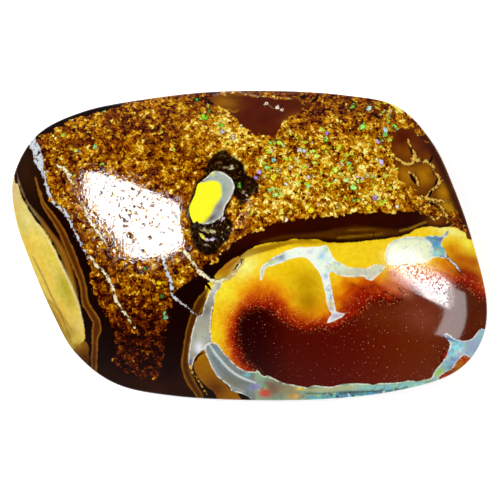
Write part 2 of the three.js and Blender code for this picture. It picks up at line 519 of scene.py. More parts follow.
LOWER_SEAM_PX = [
    (207.6, 344.4), (212, 342.3), (218, 345), (223.6, 352), (229, 358.8), (236, 365),
    (243, 369.7), (249, 371.5), (257.5, 372), (263, 376), (270, 377), (275, 396), (272, 412),
    (258, 408), (249, 397.3), (240, 393), (231.7, 391), (229, 385.8), (220, 379),
    (214.4, 372), (208.7, 360.5), (204.7, 350),
]
BOTTOM_SEAM_PX = [
    (255, 372), (264, 376), (272, 377.7), (281, 382), (293, 384.7), (307, 387.5), (313, 385.4),
    (321, 386), (332, 386.8), (340, 384.7), (348, 384), (358.6, 383.3), (369, 384),
    (373, 385.4), (380, 383.3), (390, 383.3), (400.7, 382), (409, 380.5), (418, 381.2),
    (430, 378.4), (436, 372), (439, 380), (450, 392), (430, 406), (395, 411), (352, 414),
    (310, 412), (262, 416),
]
CORNER_SEAM_PX = [
    (444, 335), (448.8, 341.7), (450, 345), (447.6, 352), (444.8, 359), (439, 366.4),
    (434, 372), (433, 379), (437, 380), (442.5, 374), (451.7, 369), (456.3, 363),
    (459.7, 357.7), (465, 355.5), (469, 357.5), (475, 362), (500, 376), (516, 350),
    (500, 333), (486, 330), (481, 328.5), (475, 335.4), (471.8, 338.8), (466, 340.5),
    (460, 340), (452.8, 337.6), (447, 333),
]
EYE_SHELL_PX = [
    (207, 177.3), (213.5, 171.4), (221.4, 171.9), (228.2, 175.5), (232.9, 181.3),
    (234.3, 187.4), (232.2, 194.2), (228.8, 201), (224.8, 207.8), (222.7, 215.2),
    (217.3, 220), (209.9, 223.4), (203, 224), (197, 218), (198, 186), (203, 180.5),
]
EYE_PX = [
    (197.7, 184), (203.1, 182.3), (211.2, 180.7), (218, 181.8), (221.6, 186.8), (222.1, 194.2),
    (218.7, 201), (213.9, 208.5), (210.5, 215.9), (205.8, 221.3), (199.7, 223.4), (197, 220.5),
    (194.3, 223.2), (190.9, 217.3), (189.1, 210.5), (190.9, 203.7), (195.6, 192.9),
]

# Veins: points of x, y and width, and the colour of each is given with the layers. The thin ones
# in the sand were measured with their blurred rims, and this share of the width is the vein.
VEIN_SHARE = 0.66
VEINS_PX = {
    "left": [(24, 128, 8), (32, 141, 8), (36, 150, 8), (38.6, 160, 8), (40.6, 167, 5),
             (43, 173, 3.2), (45, 182, 3), (48, 190, 3), (51, 199, 3.4), (56.7, 205.5, 3),
             (64.4, 211.8, 3.6), (69.9, 219.5, 3), (72.2, 227.3, 2), (78.4, 238, 1.8),
             (83, 248, 1.4), (88, 258, 1)],
    "upper_fork": [(56.7, 165, 1.6), (62.9, 168.2, 4), (68.3, 173.7, 5), (69, 177.5, 4),
                   (73.8, 185.3, 2)],
    "lower_fork": [(78.4, 198.5, 1.4), (84.7, 207, 3.4), (87, 216.4, 3.4), (92.4, 224, 3),
                   (97, 230.4, 3), (106.4, 243, 1.6)],
    "lobe": [(89, 255, 2), (96, 265, 3), (103.3, 271.3, 3.6), (111.3, 283.8, 4.4),
             (114.9, 296.2, 4.4), (120.2, 307, 3.6), (126.4, 315.8, 2.4), (134.4, 328.2, 1)],
    "drop": [(161.4, 250, 3.6), (163.6, 260, 4.4), (166.4, 269.6, 4.6), (170.9, 282, 5),
             (171.8, 291.8, 4.4), (175.4, 298.6, 3), (185.1, 305.4, 1.8), (197.6, 315.4, 1.4)],
    "bridge": [(185, 252, 3), (188.6, 257.4, 4), (192.2, 262.4, 4.4), (199.3, 271.3, 5),
               (205, 276, 4.6), (213, 281, 4), (219, 281.4, 3), (226, 278, 1.8),
               (232, 276, 1.4), (236, 270, 1.2), (243, 261, 1)],
    "thread": [(445, 255, 2), (451, 261, 1.8), (456.7, 266.7, 1.4), (461.7, 273, 0.8)],
    "foot_line": [(189.6, 365, 1.4), (193, 373, 1.4), (198, 380, 1.2), (203, 388, 1), (208, 396, 1)],
    "foot_rim": [(203, 352, 1.2), (209, 364, 1.4), (216, 376, 1.2), (224, 387, 1.2), (234, 397, 1)],
    "patch_stem": [(407.4, 139, 1.2), (411, 147, 2), (415, 154.4, 3.4), (413.6, 160, 6)],
    "patch_left": [(396, 158, 2.4), (402, 162, 3.2), (408, 164.4, 3), (413.6, 161.6, 5)],
    "patch_right": [(412, 159.4, 4), (418.3, 160.6, 4), (426.4, 161.7, 3), (432.8, 165.7, 3.4),
                    (434.4, 172.2, 3), (439.3, 177.8, 3.4), (436, 185.6, 2.6), (431.2, 190, 2.6),
                    (426.4, 197, 3.4), (421, 196, 2.4)],
    "patch_lower": [(425, 198.4, 3), (432.8, 199.6, 3), (440.9, 201.2, 2.6), (449, 201.2, 1.6)],
    "patch_hook": [(433, 200.6, 2.4), (439, 204.6, 2.6), (444, 211, 2.6), (447.4, 217, 3)],
    "cell_rim": [(408.6, 171.6, 1.4), (412.4, 173.6, 2.2), (417.4, 180, 2.4), (418, 185.6, 2)],
    "cell_rise": [(434, 190, 1.4), (438, 186, 2), (442, 180, 1.4)],
    "band_end": [(431, 216.6, 1.4), (435, 219.6, 2.6), (438, 217.8, 2), (442, 214, 1.4)],
}
PATCH_VEINS = [name for name in VEINS_PX if name.startswith(("patch_", "cell_", "band_"))]
STRIPES_PX = {
    "inner": [(-8, 158, 3), (14, 168, 1.4), (19, 182, 1.6), (28, 203, 1.8), (39.6, 218, 3.4),
              (49.6, 232, 5.8), (61, 249, 7.4), (68, 267, 8), (72.6, 285, 7.4), (77, 303, 4.8),
              (82, 321, 2.6)],
    "middle": [(35, 177, 1), (38.8, 190, 2.6), (43.4, 204, 4), (51, 215, 6), (58.4, 226, 6.6),
               (64.6, 238, 7.4), (70.6, 252, 8), (77, 268, 7.4), (83, 285, 6.4), (85, 302, 7),
               (92, 314, 7.6), (96.4, 322, 8), (96.6, 330, 9.6), (95, 339, 6.4),
               (94.4, 357, 6.6), (93, 385, 5)],
}
SLITS_PX = {
    "stem": [(408.6, 145, 1.2), (411, 150, 2.4), (412, 154.4, 1.6)],
    "upper": [(432, 156, 1.6), (431, 160, 2.6), (429, 163.2, 1.6)],
    "cell": [(410.3, 174.6, 1.8), (412.6, 178.4, 3.2), (415.4, 183, 2)],
    "right_upper": [(437.4, 179, 1.6), (436, 183, 2.8), (434.4, 186.6, 1.6)],
    "right_lower": [(432, 190.4, 1.6), (430.2, 193.6, 2.8), (428.2, 197, 1.6)],
    "curve": [(426.4, 201.6, 1.4), (434.4, 205, 2), (440.6, 210.6, 1.4)],
    "top": [(311, 102.6, 1.6), (315, 100, 2.8), (318, 96.4, 1.8)],
    "top_right": [(373, 113, 1.2), (376.4, 116, 2.2), (379.6, 118.6, 1.4)],
    "band": [(373, 229.6, 0.8), (373.8, 234, 1.6), (374, 238, 0.8)],
    "foot": [(203.6, 352.4, 1.6), (199, 355, 2), (195, 361, 1.6)],
    "corner": [(205.4, 282.8, 0.8), (208, 286, 3), (211.2, 290, 1.6)],
    "seam_side": [(213.6, 302, 0.8), (212.6, 311, 1), (211.4, 321, 0.6), (212, 334, 0.6)],
    "eye_left": [(204, 181, 0.8), (198.4, 182.6, 1.2), (195, 190, 0.8)],
}
# Pits: x, y and radius.
PITS_PX = [
    (100, 192.6, 1.5), (111, 194, 2), (108, 190.4, 1.6), (121.6, 198.4, 2.2), (140, 206.6, 1.6),
    (128.6, 236, 2.8), (150, 237.4, 1.6), (122.6, 219.4, 1.4), (161, 245, 1.5), (99, 246, 1.3),
    (133, 188, 1.2), (151, 222, 1.3), (116, 250, 1.4), (143, 252, 1.5), (94, 214, 1.2),
]

# Colours are given as the photograph shows them, each channel from 0 to 255.
BLACK_BROWN = (24, 3, 1)
BAND_BROWN = (52, 10, 0)
OLIVE_BLACK = (50, 24, 2)
FOOT_BROWN = (52, 18, 1)
PATCH_RED_BROWN = (90, 26, 2)
PATCH_BROWN = (112, 50, 2)
STRIPE_DARK = (84, 38, 4)
STRIPE_GOLD = (146, 92, 20)
LENS_YELLOW = (234, 206, 92)
UNDER_LENS_BROWN = (122, 72, 8)
NUT_YELLOW = (253, 216, 30)
STRIP_OCHRE = (172, 108, 2)
TOP_OCHRE = (166, 122, 6)
STRIP_DARK = (76, 36, 2)
STRIP_GOLD = (136, 86, 12)
FOOT_OCHRE = (158, 100, 6)
BAND_OCHRE = (92, 50, 2)
# The colour of the painted reflection at the top right edge.
TOP_EDGE_GLINT_YELLOW = (248, 238, 110)
WYE_WHITE = (250, 255, 238)
CRESCENT_GREY = (220, 218, 184)
OVAL_CREAM = (244, 246, 202)
PATCH_BLUE = (110, 160, 186)
SEAM_GREY = (172, 166, 152)
SEAM_SLATE = (132, 138, 132)
SEAM_GREEN = (150, 180, 150)
CORNER_BLUE = (156, 190, 204)
SHELL_GREY = (176, 184, 172)
EYE_YELLOW = (255, 250, 40)
VEIN_GREY = (210, 216, 222)
VEIN_CREAM = (244, 236, 190)
VEIN_GOLD = (236, 190, 84)
RIM_WHITE = (255, 250, 232)

# Tints laid over a layer's colours: x, y, radius across, radius down, turn, colour, strength.
IRONSTONE_TINTS = [
    (28, 172, 14, 30, -15, OLIVE_BLACK, 0.95), (350, 220, 110, 16, -2, BAND_BROWN, 0.95),
    (266, 232, 40, 12, -14, (60, 10, 0), 0.9), (150, 388, 40, 12, 8, FOOT_BROWN, 0.9),
    (108, 380, 26, 10, 36, (38, 16, 2), 0.8), (186, 376, 8, 12, 0, (60, 20, 0), 0.6),
    # The right patch: red-brown at its head, with ochre cells under it.
    (405, 138, 13, 11, 0, (86, 18, 1), 0.95), (424, 144, 10, 12, 30, (94, 32, 4), 0.8),
    (400, 152, 7, 7, 0, (140, 72, 1), 0.8), (410, 151, 6, 7, 0, (146, 82, 2), 0.8),
    (407, 176, 8, 10, 0, (194, 130, 14), 0.95), (424, 175, 9, 12, 15, (188, 126, 4), 0.95),
    (444, 190, 8, 8, 0, (192, 130, 2), 0.95), (446, 205, 8, 7, 30, (206, 150, 4), 0.95),
    (453, 213, 4, 6, -20, (208, 162, 16), 0.9), (437, 220, 9, 5, 0, (144, 74, 4), 0.9),
    # The top patch's gold ends.
    (224, 102, 13, 9, 10, (164, 106, 12), 0.95), (292, 120, 10, 6, -30, (146, 84, 8), 0.8),
    (304, 106, 9, 6, 0, (96, 40, 2), 0.7), (262, 130, 9, 5, 0, (96, 36, 2), 0.6),
]
# Soft lines: points of x, y and width, then colour, blur and strength.
IRONSTONE_STROKES = [
    ([(262, 242, 2), (285, 237, 3), (310, 235.6, 4), (335, 234, 9), (352, 233, 12),
      (368, 232.6, 11), (382, 232.4, 8), (394, 232.4, 5), (405, 230.4, 3), (415, 227.6, 2)],
     BAND_OCHRE, 2.4, 0.9),
    ([(338, 238, 1.2), (352, 236.5, 1.6), (368, 235.4, 1.2), (382, 234, 1)], (166, 120, 16), 1, 0.8),
    ([(346, 230.8, 1), (360, 229.6, 1.2), (374, 229.4, 0.8)], (150, 100, 10), 1, 0.7),
    ([(336, 234, 1), (354, 233.2, 1.4), (374, 232.2, 1)], (60, 26, 2), 1, 0.8),
    ([(400, 230.8, 1), (410, 228.4, 1.2), (418, 225, 1.2), (426, 222, 1)], (196, 150, 40), 1, 0.9),
    ([(404, 116, 4), (420, 131, 7), (436, 157, 7), (447, 181, 7), (456, 203, 7), (463, 226, 8)],
     (60, 16, 0), 2.6, 0.9),
    ([(236, 94.6, 3), (250, 94, 3), (270, 95.6, 2.6), (292, 98, 2.4)], (150, 96, 16), 1.6, 0.85),
    ([(225, 98.6, 0.8), (231, 97, 1)], (84, 40, 2), 0.8, 0.8),
    ([(228, 109, 1), (234, 112, 1.2), (238, 110, 0.8)], (206, 146, 30), 0.9, 0.7),
    # This short gold line lies on the same row of painted glints.
    ([(269, 105, 0.8), (273, 108.6, 0.8)], (190, 130, 60), 0.8, 0.7),
    ([(-10, 300, 3), (16, 262, 3), (40, 316, 3), (66, 354, 3)], (60, 30, 2), 2, 0.8),
]
JASPER_TINTS = [
    # The lens: beige at the top, yellow in its middle, olive clouds, a warm foot.
    (36, 238, 8, 12, -28, (250, 222, 90), 0.8), (50, 257, 7, 9, -28, (232, 212, 70), 0.8),
    (65, 291, 6, 10, -28, (180, 178, 34), 0.9), (61, 310, 6, 7, -28, (240, 206, 84), 0.8),
    (23, 228, 3, 14, -18, (206, 196, 96), 0.7), (77, 328, 4, 8, -10, (236, 212, 120), 0.8),
    (13, 190, 7, 18, -12, (222, 196, 146), 0.9), (28, 219, 7, 14, -28, (236, 222, 140), 0.9),
    (28, 246, 6, 10, -20, (240, 196, 70), 0.7), (64, 283, 6, 10, -22, (190, 174, 50), 0.95),
    (70, 301, 5, 9, -20, (196, 172, 45), 0.8), (56, 320, 10, 14, -32, (196, 150, 44), 0.8),
    (70, 334, 8, 8, 0, (180, 146, 44), 0.8), (76, 346, 9, 4, -10, (158, 118, 34), 0.9),
    (84, 360, 12, 8, 0, (66, 30, 2), 0.9),
    # The nut's yellow ground.
    (308, 242, 34, 3, 0, (184, 138, 0), 0.9), (288, 271, 14, 9, 0, (244, 197, 2), 0.8),
    (306, 282, 16, 13, 0, (204, 156, 1), 0.95), (308, 301, 12, 13, 0, (180, 126, 0), 0.95),
    (246, 267, 13, 8, -38, (255, 252, 130), 0.95), (222, 289, 9, 14, -38, (255, 238, 56), 0.9),
    (362, 296, 12, 9, -35, (150, 12, 0), 0.85), (348, 309, 10, 5, -20, (150, 12, 4), 0.8),
    # A lighter, greyer patch over the kidney's upper right: partly its lighter brown, partly a painted
    # reflection of the veil of light there.
    (388, 318, 26, 12, 10, (106, 42, 14), 0.8), (422, 318, 20, 14, 30, (130, 62, 40), 0.85),
    # Its right end goes from cream through orange to dark red.
    (450, 231, 18, 4.6, 14, (255, 251, 138), 0.95), (467, 242, 5, 7, 0, (255, 250, 90), 0.8),
    (452, 249, 9, 7, 0, (226, 140, 6), 0.95), (461, 259, 15, 8, 14, (190, 84, 0), 0.95),
    (444, 263, 10, 6, 30, (226, 124, 10), 0.9), (464, 272, 14, 7, 14, (150, 38, 0), 0.95),
    (474, 262, 8, 6, 30, (176, 60, 2), 0.8), (473, 278, 13, 8, 10, (146, 16, 0), 0.95),
    (468, 303, 12, 11, 0, (84, 32, 5), 0.9), (482, 322, 8, 10, 0, (92, 34, 6), 0.9),
    (458, 372, 22, 8, -30, (128, 40, 12), 0.95),
    # Dark red where the kidney's crest meets the crescent, and salmon there that is its orange
    # lightened by a painted reflection.
    (416, 271, 24, 9, 20, (214, 104, 60), 0.8),
    (394, 274, 8, 5, 20, (196, 60, 10), 0.8), (393, 285, 10, 6, 25, (206, 110, 72), 0.9),
    (405, 292, 8, 5, 30, (196, 120, 92), 0.7),
    (216, 388, 12, 10, 30, (96, 46, 4), 0.9), (200, 358, 5, 5, 0, (180, 120, 10), 0.6),
]
JASPER_STROKES = [
    # The lens: its pale right edge and the brown line of its outer side.
    ([(14, 178, 0.6), (24, 200, 1), (34, 219, 1.2), (47, 239, 1.4), (57, 256, 1.6), (71, 286, 1.6),
      (79, 306, 1.4), (83.6, 326, 1)], (244, 232, 176), 1, 0.9),
    ([(20, 262, 6), (44, 300, 8), (58, 326, 8), (68, 344, 5)], (150, 108, 22), 3, 0.75),
    ([(49, 300, 1), (58, 310, 1.2), (64, 322, 1.2), (71, 342, 1)], (120, 84, 14), 1, 0.8),
    ([(33, 257, 1), (42, 275, 1.2), (50, 293, 1.2), (60, 312, 1), (72, 331, 0.8)],
     (150, 92, 14), 0.8, 0.85),
    ([(37, 254, 1.4), (45, 270, 1.6), (53, 288, 1)], (255, 196, 60), 1.2, 0.8),
    ([(22, 196, 1), (34, 226, 2), (50, 262, 2), (66, 300, 1.6)], (216, 204, 110), 2, 0.5),
    # Dark streaks in the red ground right of the stem, and cracks in the crest.
    ([(352, 284, 2), (362, 288, 3), (376, 286, 3), (386, 292, 2)], (140, 14, 0), 1.6, 0.7),
    ([(338, 300, 1.4), (350, 294, 1.6), (362, 284, 1.4)], (216, 84, 4), 1.6, 0.6),
    ([(384, 292, 1.4), (392, 295, 2.4), (401, 301, 1.4)], (60, 12, 0), 1.2, 0.8),
    ([(397, 274, 1), (401, 279, 1.4)], (110, 8, 4), 0.9, 0.8),
    ([(399, 288, 1.6), (403, 293, 1.2)], (60, 10, 0), 1, 0.8),
    # The cream rim of the nut's upper left.
    ([(216.5, 281.7, 2), (225.7, 279.2, 2.6), (233.4, 274, 3), (239, 266, 2.4), (242.6, 262.3, 1.6)],
     (255, 236, 186), 1.2, 0.85),
    # The upper strip: a lighter upper edge, a dark red streak, and gold along the nut's top.
    ([(215, 274, 1), (226, 264.6, 1), (238, 256, 1)], (196, 130, 34), 1, 0.8),
    ([(228, 268, 1), (234, 262.6, 1.6), (238, 260, 1)], (126, 54, 0), 1.2, 0.7),
    ([(244, 252, 1), (256, 247.4, 1), (268, 245, 1), (286, 241.6, 1), (306, 239.6, 1)],
     (206, 158, 30), 1, 0.7),
]
OPAL_TINTS = [
    # The wye: lavender grey in its left arm, a green and a yellow spot.
    (270, 262, 8, 4, -24, (186, 182, 172), 0.9), (269.6, 262.6, 3.4, 2.6, 0, (200, 250, 120), 0.9),
    (281, 257, 5, 4, -20, (132, 136, 160), 0.95), (262, 274, 2.4, 6, 0, (150, 140, 130), 0.8),
    (326, 249, 3, 4, 0, (190, 222, 176), 0.8), (328, 290, 3, 5, 0, (232, 246, 230), 0.8),
    (331, 304, 3.6, 3.4, 0, (246, 196, 110), 0.95), (331, 309, 3, 3, 0, (176, 166, 180), 0.9),
    (336, 316, 6, 3, -10, (196, 160, 196), 0.9), (343, 314, 3, 2, 0, (178, 110, 110), 0.8),
    (322, 256, 4, 4, 0, (150, 206, 236), 0.7), (326, 276, 3, 3, 0, (176, 190, 240), 0.8),
    (331, 296, 2, 3, 0, (150, 176, 236), 0.8), (310, 252, 3, 2, 0, (206, 196, 240), 0.7),
    # The crescent and the oval.
    (362, 273, 16, 2.6, 0, (206, 204, 178), 0.8), (339, 267, 8, 4, 0, (226, 246, 220), 0.8),
    (371, 278, 4, 3, 0, (238, 206, 190), 0.8), (411, 252, 15, 9, 0, (255, 255, 224), 0.95),
    (437, 245, 4, 6, 0, (96, 160, 206), 0.9), (434, 239, 4, 2.4, 0, (90, 140, 166), 0.9),
    (440, 239, 3, 2.4, 0, (100, 106, 122), 0.9), (437, 253, 5, 3, 0, (180, 236, 216), 0.9),
    (442.6, 243, 2, 3, 0, (176, 130, 100), 0.8), (447, 232.6, 2.6, 2.4, 0, (110, 92, 90), 0.9),
    # The left and lower seams, and the corner seam's first patches.
    (214, 288, 4, 6, 10, (222, 212, 194), 0.9), (206.6, 310, 4.6, 7, 20, (122, 115, 106), 0.9),
    (203, 335, 5, 5, 0, (198, 198, 168), 0.8), (199, 348, 5, 7, 0, (242, 242, 250), 0.95),
    (193, 355, 3, 5, 0, (172, 160, 134), 0.8), (190.6, 363, 2.4, 5, 0, (96, 84, 130), 0.95),
    (216, 351, 5, 6, 30, (136, 156, 152), 0.8), (218, 366, 5, 12, -32, (142, 148, 158), 0.8),
    (232, 382, 10, 5, 30, (134, 124, 96), 0.8), (247, 375, 3, 2, 0, (110, 206, 220), 0.9),
    (257, 386.4, 3.6, 3, 0, (170, 134, 236), 0.95), (251, 388, 4, 4, 0, (140, 150, 190), 0.8),
    (267, 393.6, 4.6, 3, 0, (232, 84, 48), 0.95), (269.6, 384, 3.4, 2.6, 0, (190, 86, 60), 0.8),
    (274, 388, 14, 10, 0, (128, 98, 78), 1.0), (291, 391, 10, 8, 0, (160, 140, 100), 1.0),
    (264, 393, 5, 4, 0, (226, 70, 50), 0.95),
    (454, 347, 8, 7, -40, (176, 244, 252), 0.9), (445, 338.6, 4, 2.6, 0, (70, 84, 170), 0.9),
    (437.4, 374, 3, 3, 0, (190, 220, 60), 0.95), (452, 368, 4, 3, 0, (110, 80, 50), 0.8),
    (462, 341, 5, 4, 0, (206, 200, 244), 0.8),
    # The bottom seam: gold at its left, green above, blue below.
    (300, 388.6, 4, 2, 0, (254, 214, 50), 0.95), (295, 396.6, 6, 2.6, 0, (250, 180, 50), 0.95),
    (311, 390, 6, 4, 0, (126, 130, 72), 0.8), (322, 393, 7, 3, 0, (180, 210, 172), 0.9),
    (332, 389, 6, 3, 0, (170, 170, 124), 0.8), (356, 386.6, 12, 2.6, 0, (196, 226, 170), 0.9),
    (350, 394, 18, 3, 0, (88, 112, 136), 0.95), (376, 393.4, 16, 3, -4, (84, 124, 146), 0.95),
    (374, 388, 5, 2, 0, (150, 214, 200), 0.8), (385, 388, 8, 3, 0, (148, 198, 210), 0.8),
    (402, 386, 8, 3, 0, (130, 196, 190), 0.9), (414, 385, 5, 2.4, 0, (150, 240, 226), 0.9),
    (421, 384, 4, 2, 0, (206, 252, 246), 0.9), (404, 391, 14, 3, -10, (80, 180, 196), 0.8),
    # The rest of the corner seam.
    (448, 337, 5, 3, 30, (70, 80, 130), 0.95), (456, 340, 5, 2.4, 0, (58, 82, 156), 0.9),
    (454, 349, 6, 5, 0, (190, 244, 250), 0.95), (447, 356, 3.4, 4, 30, (200, 208, 210), 0.9),
    (460, 346, 4, 3.4, 0, (150, 222, 234), 0.8), (464, 352, 3, 3, 0, (200, 200, 228), 0.8),
    (472, 346, 8, 7, -40, (162, 172, 200), 0.9), (454, 361, 4, 3, -30, (126, 140, 190), 0.9),
    (440, 371, 4, 4, -30, (160, 200, 80), 0.95), (482, 335, 6, 4, 0, (160, 200, 200), 0.8),
    # The eye's shell: yellow at its tip, violet at its left, lavender brown below.
    (212, 173.4, 2.4, 2.4, 0, (244, 234, 60), 0.95), (205, 179.4, 3, 1.6, -20, (96, 84, 116), 0.9),
    (229, 199, 3.4, 6, 0, (196, 176, 166), 0.8), (224, 190, 2.6, 6, 0, (140, 160, 146), 0.8),
    (219, 207, 4, 6, 40, (150, 126, 122), 0.9), (212, 218, 7, 3, -35, (106, 78, 84), 0.95),
]
OPAL_STROKES = [
    # The eye's shell has a pale right rim.
    ([(220, 172.4, 0.8), (228, 176.4, 1.2), (232.6, 182, 1.4), (233.6, 188, 1.4), (231.4, 194.6, 1.2),
      (228, 201.4, 1), (224, 208, 0.8)], (240, 236, 220), 0.8, 0.9),
    # The bottom seam has a pale green stripe over a dark line.
    ([(304, 390, 2), (324, 389.4, 4), (345, 388, 4), (360, 388, 4)], (196, 190, 140), 1, 0.8),
    ([(358, 388, 4), (380, 387.6, 4), (400, 386, 4), (422, 384, 3)], (150, 206, 200), 1, 0.8),
    ([(306, 393.6, 1), (330, 393.4, 1.4), (352, 392, 1.6), (380, 391, 1.4), (404, 389.6, 1)],
     (40, 60, 70), 1, 0.8),
    ([(308, 398, 3), (345, 397, 4), (380, 394.6, 4), (410, 391, 4), (430, 386, 3)],
     (84, 168, 190), 1.2, 0.8),
    # The lower seam is lighter along its lower edge, and has a bright line in it.
    ([(206, 351, 2), (212, 366, 2.4), (220, 378, 2.4), (230, 386, 2.4), (244, 392, 2)],
     (176, 180, 176), 2, 0.8),
    ([(212, 356, 2), (221, 369, 3), (233, 379, 3), (248, 384, 2)], (108, 116, 110), 2, 0.6),
    ([(209.8, 345.2, 1), (215.4, 353.6, 1.6), (222, 361.6, 1.6), (229, 369, 1.6), (237, 375, 1.6),
      (246, 379.4, 1.6), (255, 382.6, 1.2)], (246, 250, 250), 0.9, 0.95),
    # The crescent's and the oval's pale and grey-green rims.
    ([(334, 274, 1.4), (346, 277, 1.6), (362, 277, 1.6), (372, 280, 1.4)], (206, 236, 222), 1, 0.8),
    ([(388.4, 263, 1.6), (386.6, 254, 2), (391, 244, 2), (400, 239, 2), (411, 238, 2),
      (424, 239, 2)], (186, 200, 186), 1.6, 0.8),
]

# The sandy ground. Tone shifts its grains towards gold (above 0) or black (below 0):
# x, y, radius across, radius down, turn, amount.
SAND_TONES = [
    (320, 165, 80, 60, 0, 0.16), (222, 134, 24, 24, 0, 0.28), (270, 190, 40, 26, 0, 0.12),
    (180, 134, 26, 16, 0, 0.12), (340, 112, 30, 12, 0, -0.2), (100, 270, 20, 16, 0, -0.1),
    (138, 300, 20, 18, 0, 0.14), (350, 204, 40, 8, 0, 0.08),
    (410, 200, 32, 18, 0, 0.1), (385, 150, 18, 50, 0, 0.04), (130, 300, 40, 30, 0, -0.12),
    (140, 348, 44, 30, 0, -0.34), (158, 330, 14, 30, 0, -0.16), (140, 372, 50, 12, 0, -0.2),
    (110, 130, 60, 20, -20, -0.03), (230, 98, 8, 8, 0, 0.2), (460, 212, 8, 14, 0, -0.12),
    (350, 98, 44, 7, 5, -0.12), (290, 93, 40, 4, 0, -0.1), (206, 98, 14, 6, 0, -0.3),
    (128, 128, 20, 12, 0, -0.08),
    (213, 137, 8, 10, 0, -0.04), (250, 150, 20, 12, 0, 0.06), (370, 182, 30, 22, 0, 0.14),
    (274, 208, 24, 12, -20, 0.08), (304, 114, 14, 8, 0, -0.1),
]
# The rough dark ground of the pocket round the eye, as its outline.
POCKET_PX = [
    (225, 149), (230, 154), (236, 158), (243, 163), (247, 174), (254, 178), (259, 185),
    (258, 192), (251, 195), (246, 202), (240, 206), (237, 198), (233, 196), (230, 203),
    (226, 212), (231, 221), (232, 230), (229, 238), (223, 245), (216, 253), (208, 256),
    (198, 251), (192, 241), (189.5, 229), (189, 221), (185.5, 213), (188, 205), (192, 194),
    (195.6, 183.4), (203.8, 174), (206, 166), (210, 158), (217, 152),
]
# Chips of opal in the pocket: x, y, radius across, radius down, turn, colour.
POCKET_CHIPS = [
    (231.9, 168, 1.8, 3, 0, (194, 194, 156)), (226, 167.8, 3, 1.2, 5, (142, 126, 84)),
    (239.7, 185.4, 0.9, 3, 0, (90, 214, 60)), (243.3, 192.2, 1.5, 0.9, 0, (150, 140, 116)),
    (246.5, 195.4, 1.2, 1, 0, (190, 180, 160)), (222.4, 219.4, 3.2, 1.3, -32, (212, 192, 202)),
    (204, 230, 5.6, 1.6, 25, (170, 160, 104)), (213.8, 231, 2.6, 1.8, -10, (200, 194, 140)),
    (225, 230, 4.4, 0.9, -45, (160, 150, 92)), (202.4, 236.6, 4.6, 1.3, 44, (234, 226, 96)),
    (210.6, 239.6, 4.8, 1.4, -8, (214, 204, 230)), (220, 162, 3, 1, 10, (96, 76, 34)),
    (218, 226, 3, 0.8, -30, (150, 120, 90)), (207, 245.4, 3.4, 0.7, 20, (150, 140, 120)),
]
# Single flashes of colour in the sand: x, y, radius, colour.
SAND_FLASHES = [
    (75, 150, 1.6, (190, 240, 60)), (79.6, 151, 1.2, (140, 80, 230)),
    (165, 313, 1.6, (130, 196, 120)), (165.6, 317.6, 2, (120, 190, 150)),
    (159, 283, 2.8, (250, 210, 10)), (157.4, 286.6, 1.8, (240, 190, 10)),
    (145, 269, 1.5, (60, 150, 60)), (161.4, 296, 1.4, (50, 130, 60)), (113, 281, 2.6, (196, 110, 16)),
    (50.6, 199.6, 2.4, (226, 150, 26)), (203, 115.6, 2.2, (150, 236, 40)),
    (206.4, 117.4, 1.8, (100, 210, 40)), (201, 118, 1.4, (200, 240, 90)),
    (197, 100, 1.3, (60, 200, 60)), (209, 111, 1.3, (60, 190, 70)), (222, 125, 1.7, (120, 220, 40)),
    (222, 131.6, 2, (222, 196, 226)), (233, 137, 1.7, (226, 200, 200)),
    # The next three pale points, on a row along the top patch, are painted glints rather than opal
    # flashes.
    (277.4, 107.8, 1.9, (255, 238, 214)), (265.6, 104, 1.7, (250, 228, 196)),
    (282, 110.2, 1.5, (244, 200, 170)), (279, 142.6, 2.6, (190, 246, 90)),
    (283, 146.4, 1.7, (196, 240, 120)), (327, 139.4, 2.2, (150, 236, 90)),
    (324, 147, 2.4, (250, 214, 30)), (327, 133, 1.5, (170, 130, 240)),
    (299, 150, 2.2, (230, 226, 226)), (304, 151, 1.6, (200, 210, 220)),
    (312.6, 151.4, 2.2, (220, 250, 100)), (317, 155.6, 2.4, (226, 252, 100)),
    (315, 162, 1.7, (196, 240, 90)), (273.4, 160, 2.2, (150, 230, 216)),
    (267, 167, 2.2, (150, 230, 130)), (259, 172.4, 2.2, (214, 160, 236)),
    (256.4, 177, 1.6, (170, 140, 236)), (273.4, 177.4, 2.8, (244, 228, 40)),
    (278, 170, 2.4, (206, 214, 130)), (275.6, 194.6, 2.6, (190, 246, 120)),
    (269, 190, 1.7, (170, 236, 130)), (335.6, 169.4, 2.6, (236, 252, 90)),
    (340, 173, 2, (226, 252, 110)), (346.6, 180, 3, (226, 255, 150)),
    (353.4, 187, 3, (180, 255, 120)), (358, 180.6, 1.8, (190, 240, 110)),
    (328, 184, 2.2, (226, 240, 60)), (352, 171, 1.7, (226, 224, 50)),
    (374.4, 197.4, 2, (186, 150, 246)), (379, 141, 1.9, (200, 170, 240)),
    (381.4, 162, 2.2, (220, 200, 250)), (362.6, 127, 2.4, (160, 250, 110)),
    (385, 129.6, 2.2, (190, 226, 240)), (385, 135, 2.2, (120, 226, 110)),
    (395, 127, 2.2, (150, 246, 100)), (369, 108.4, 2.2, (190, 236, 220)),
    (352.4, 107.4, 1.8, (130, 220, 70)), (390, 116, 1.7, (110, 200, 80)),
    (286, 184, 1.7, (240, 240, 214)), (308.6, 176.6, 1.7, (226, 196, 200)),
    (281, 212, 2.6, (252, 232, 90)), (311, 210.4, 2.6, (255, 236, 30)),
    (286, 219.6, 1.8, (250, 240, 210)), (397, 206.6, 1.9, (252, 244, 214)),
    (369, 208, 2.6, (250, 214, 30)), (338, 207, 1.7, (240, 220, 150)),
    (386, 176, 2.2, (220, 214, 40)), (367, 176, 2, (226, 210, 130)),
]
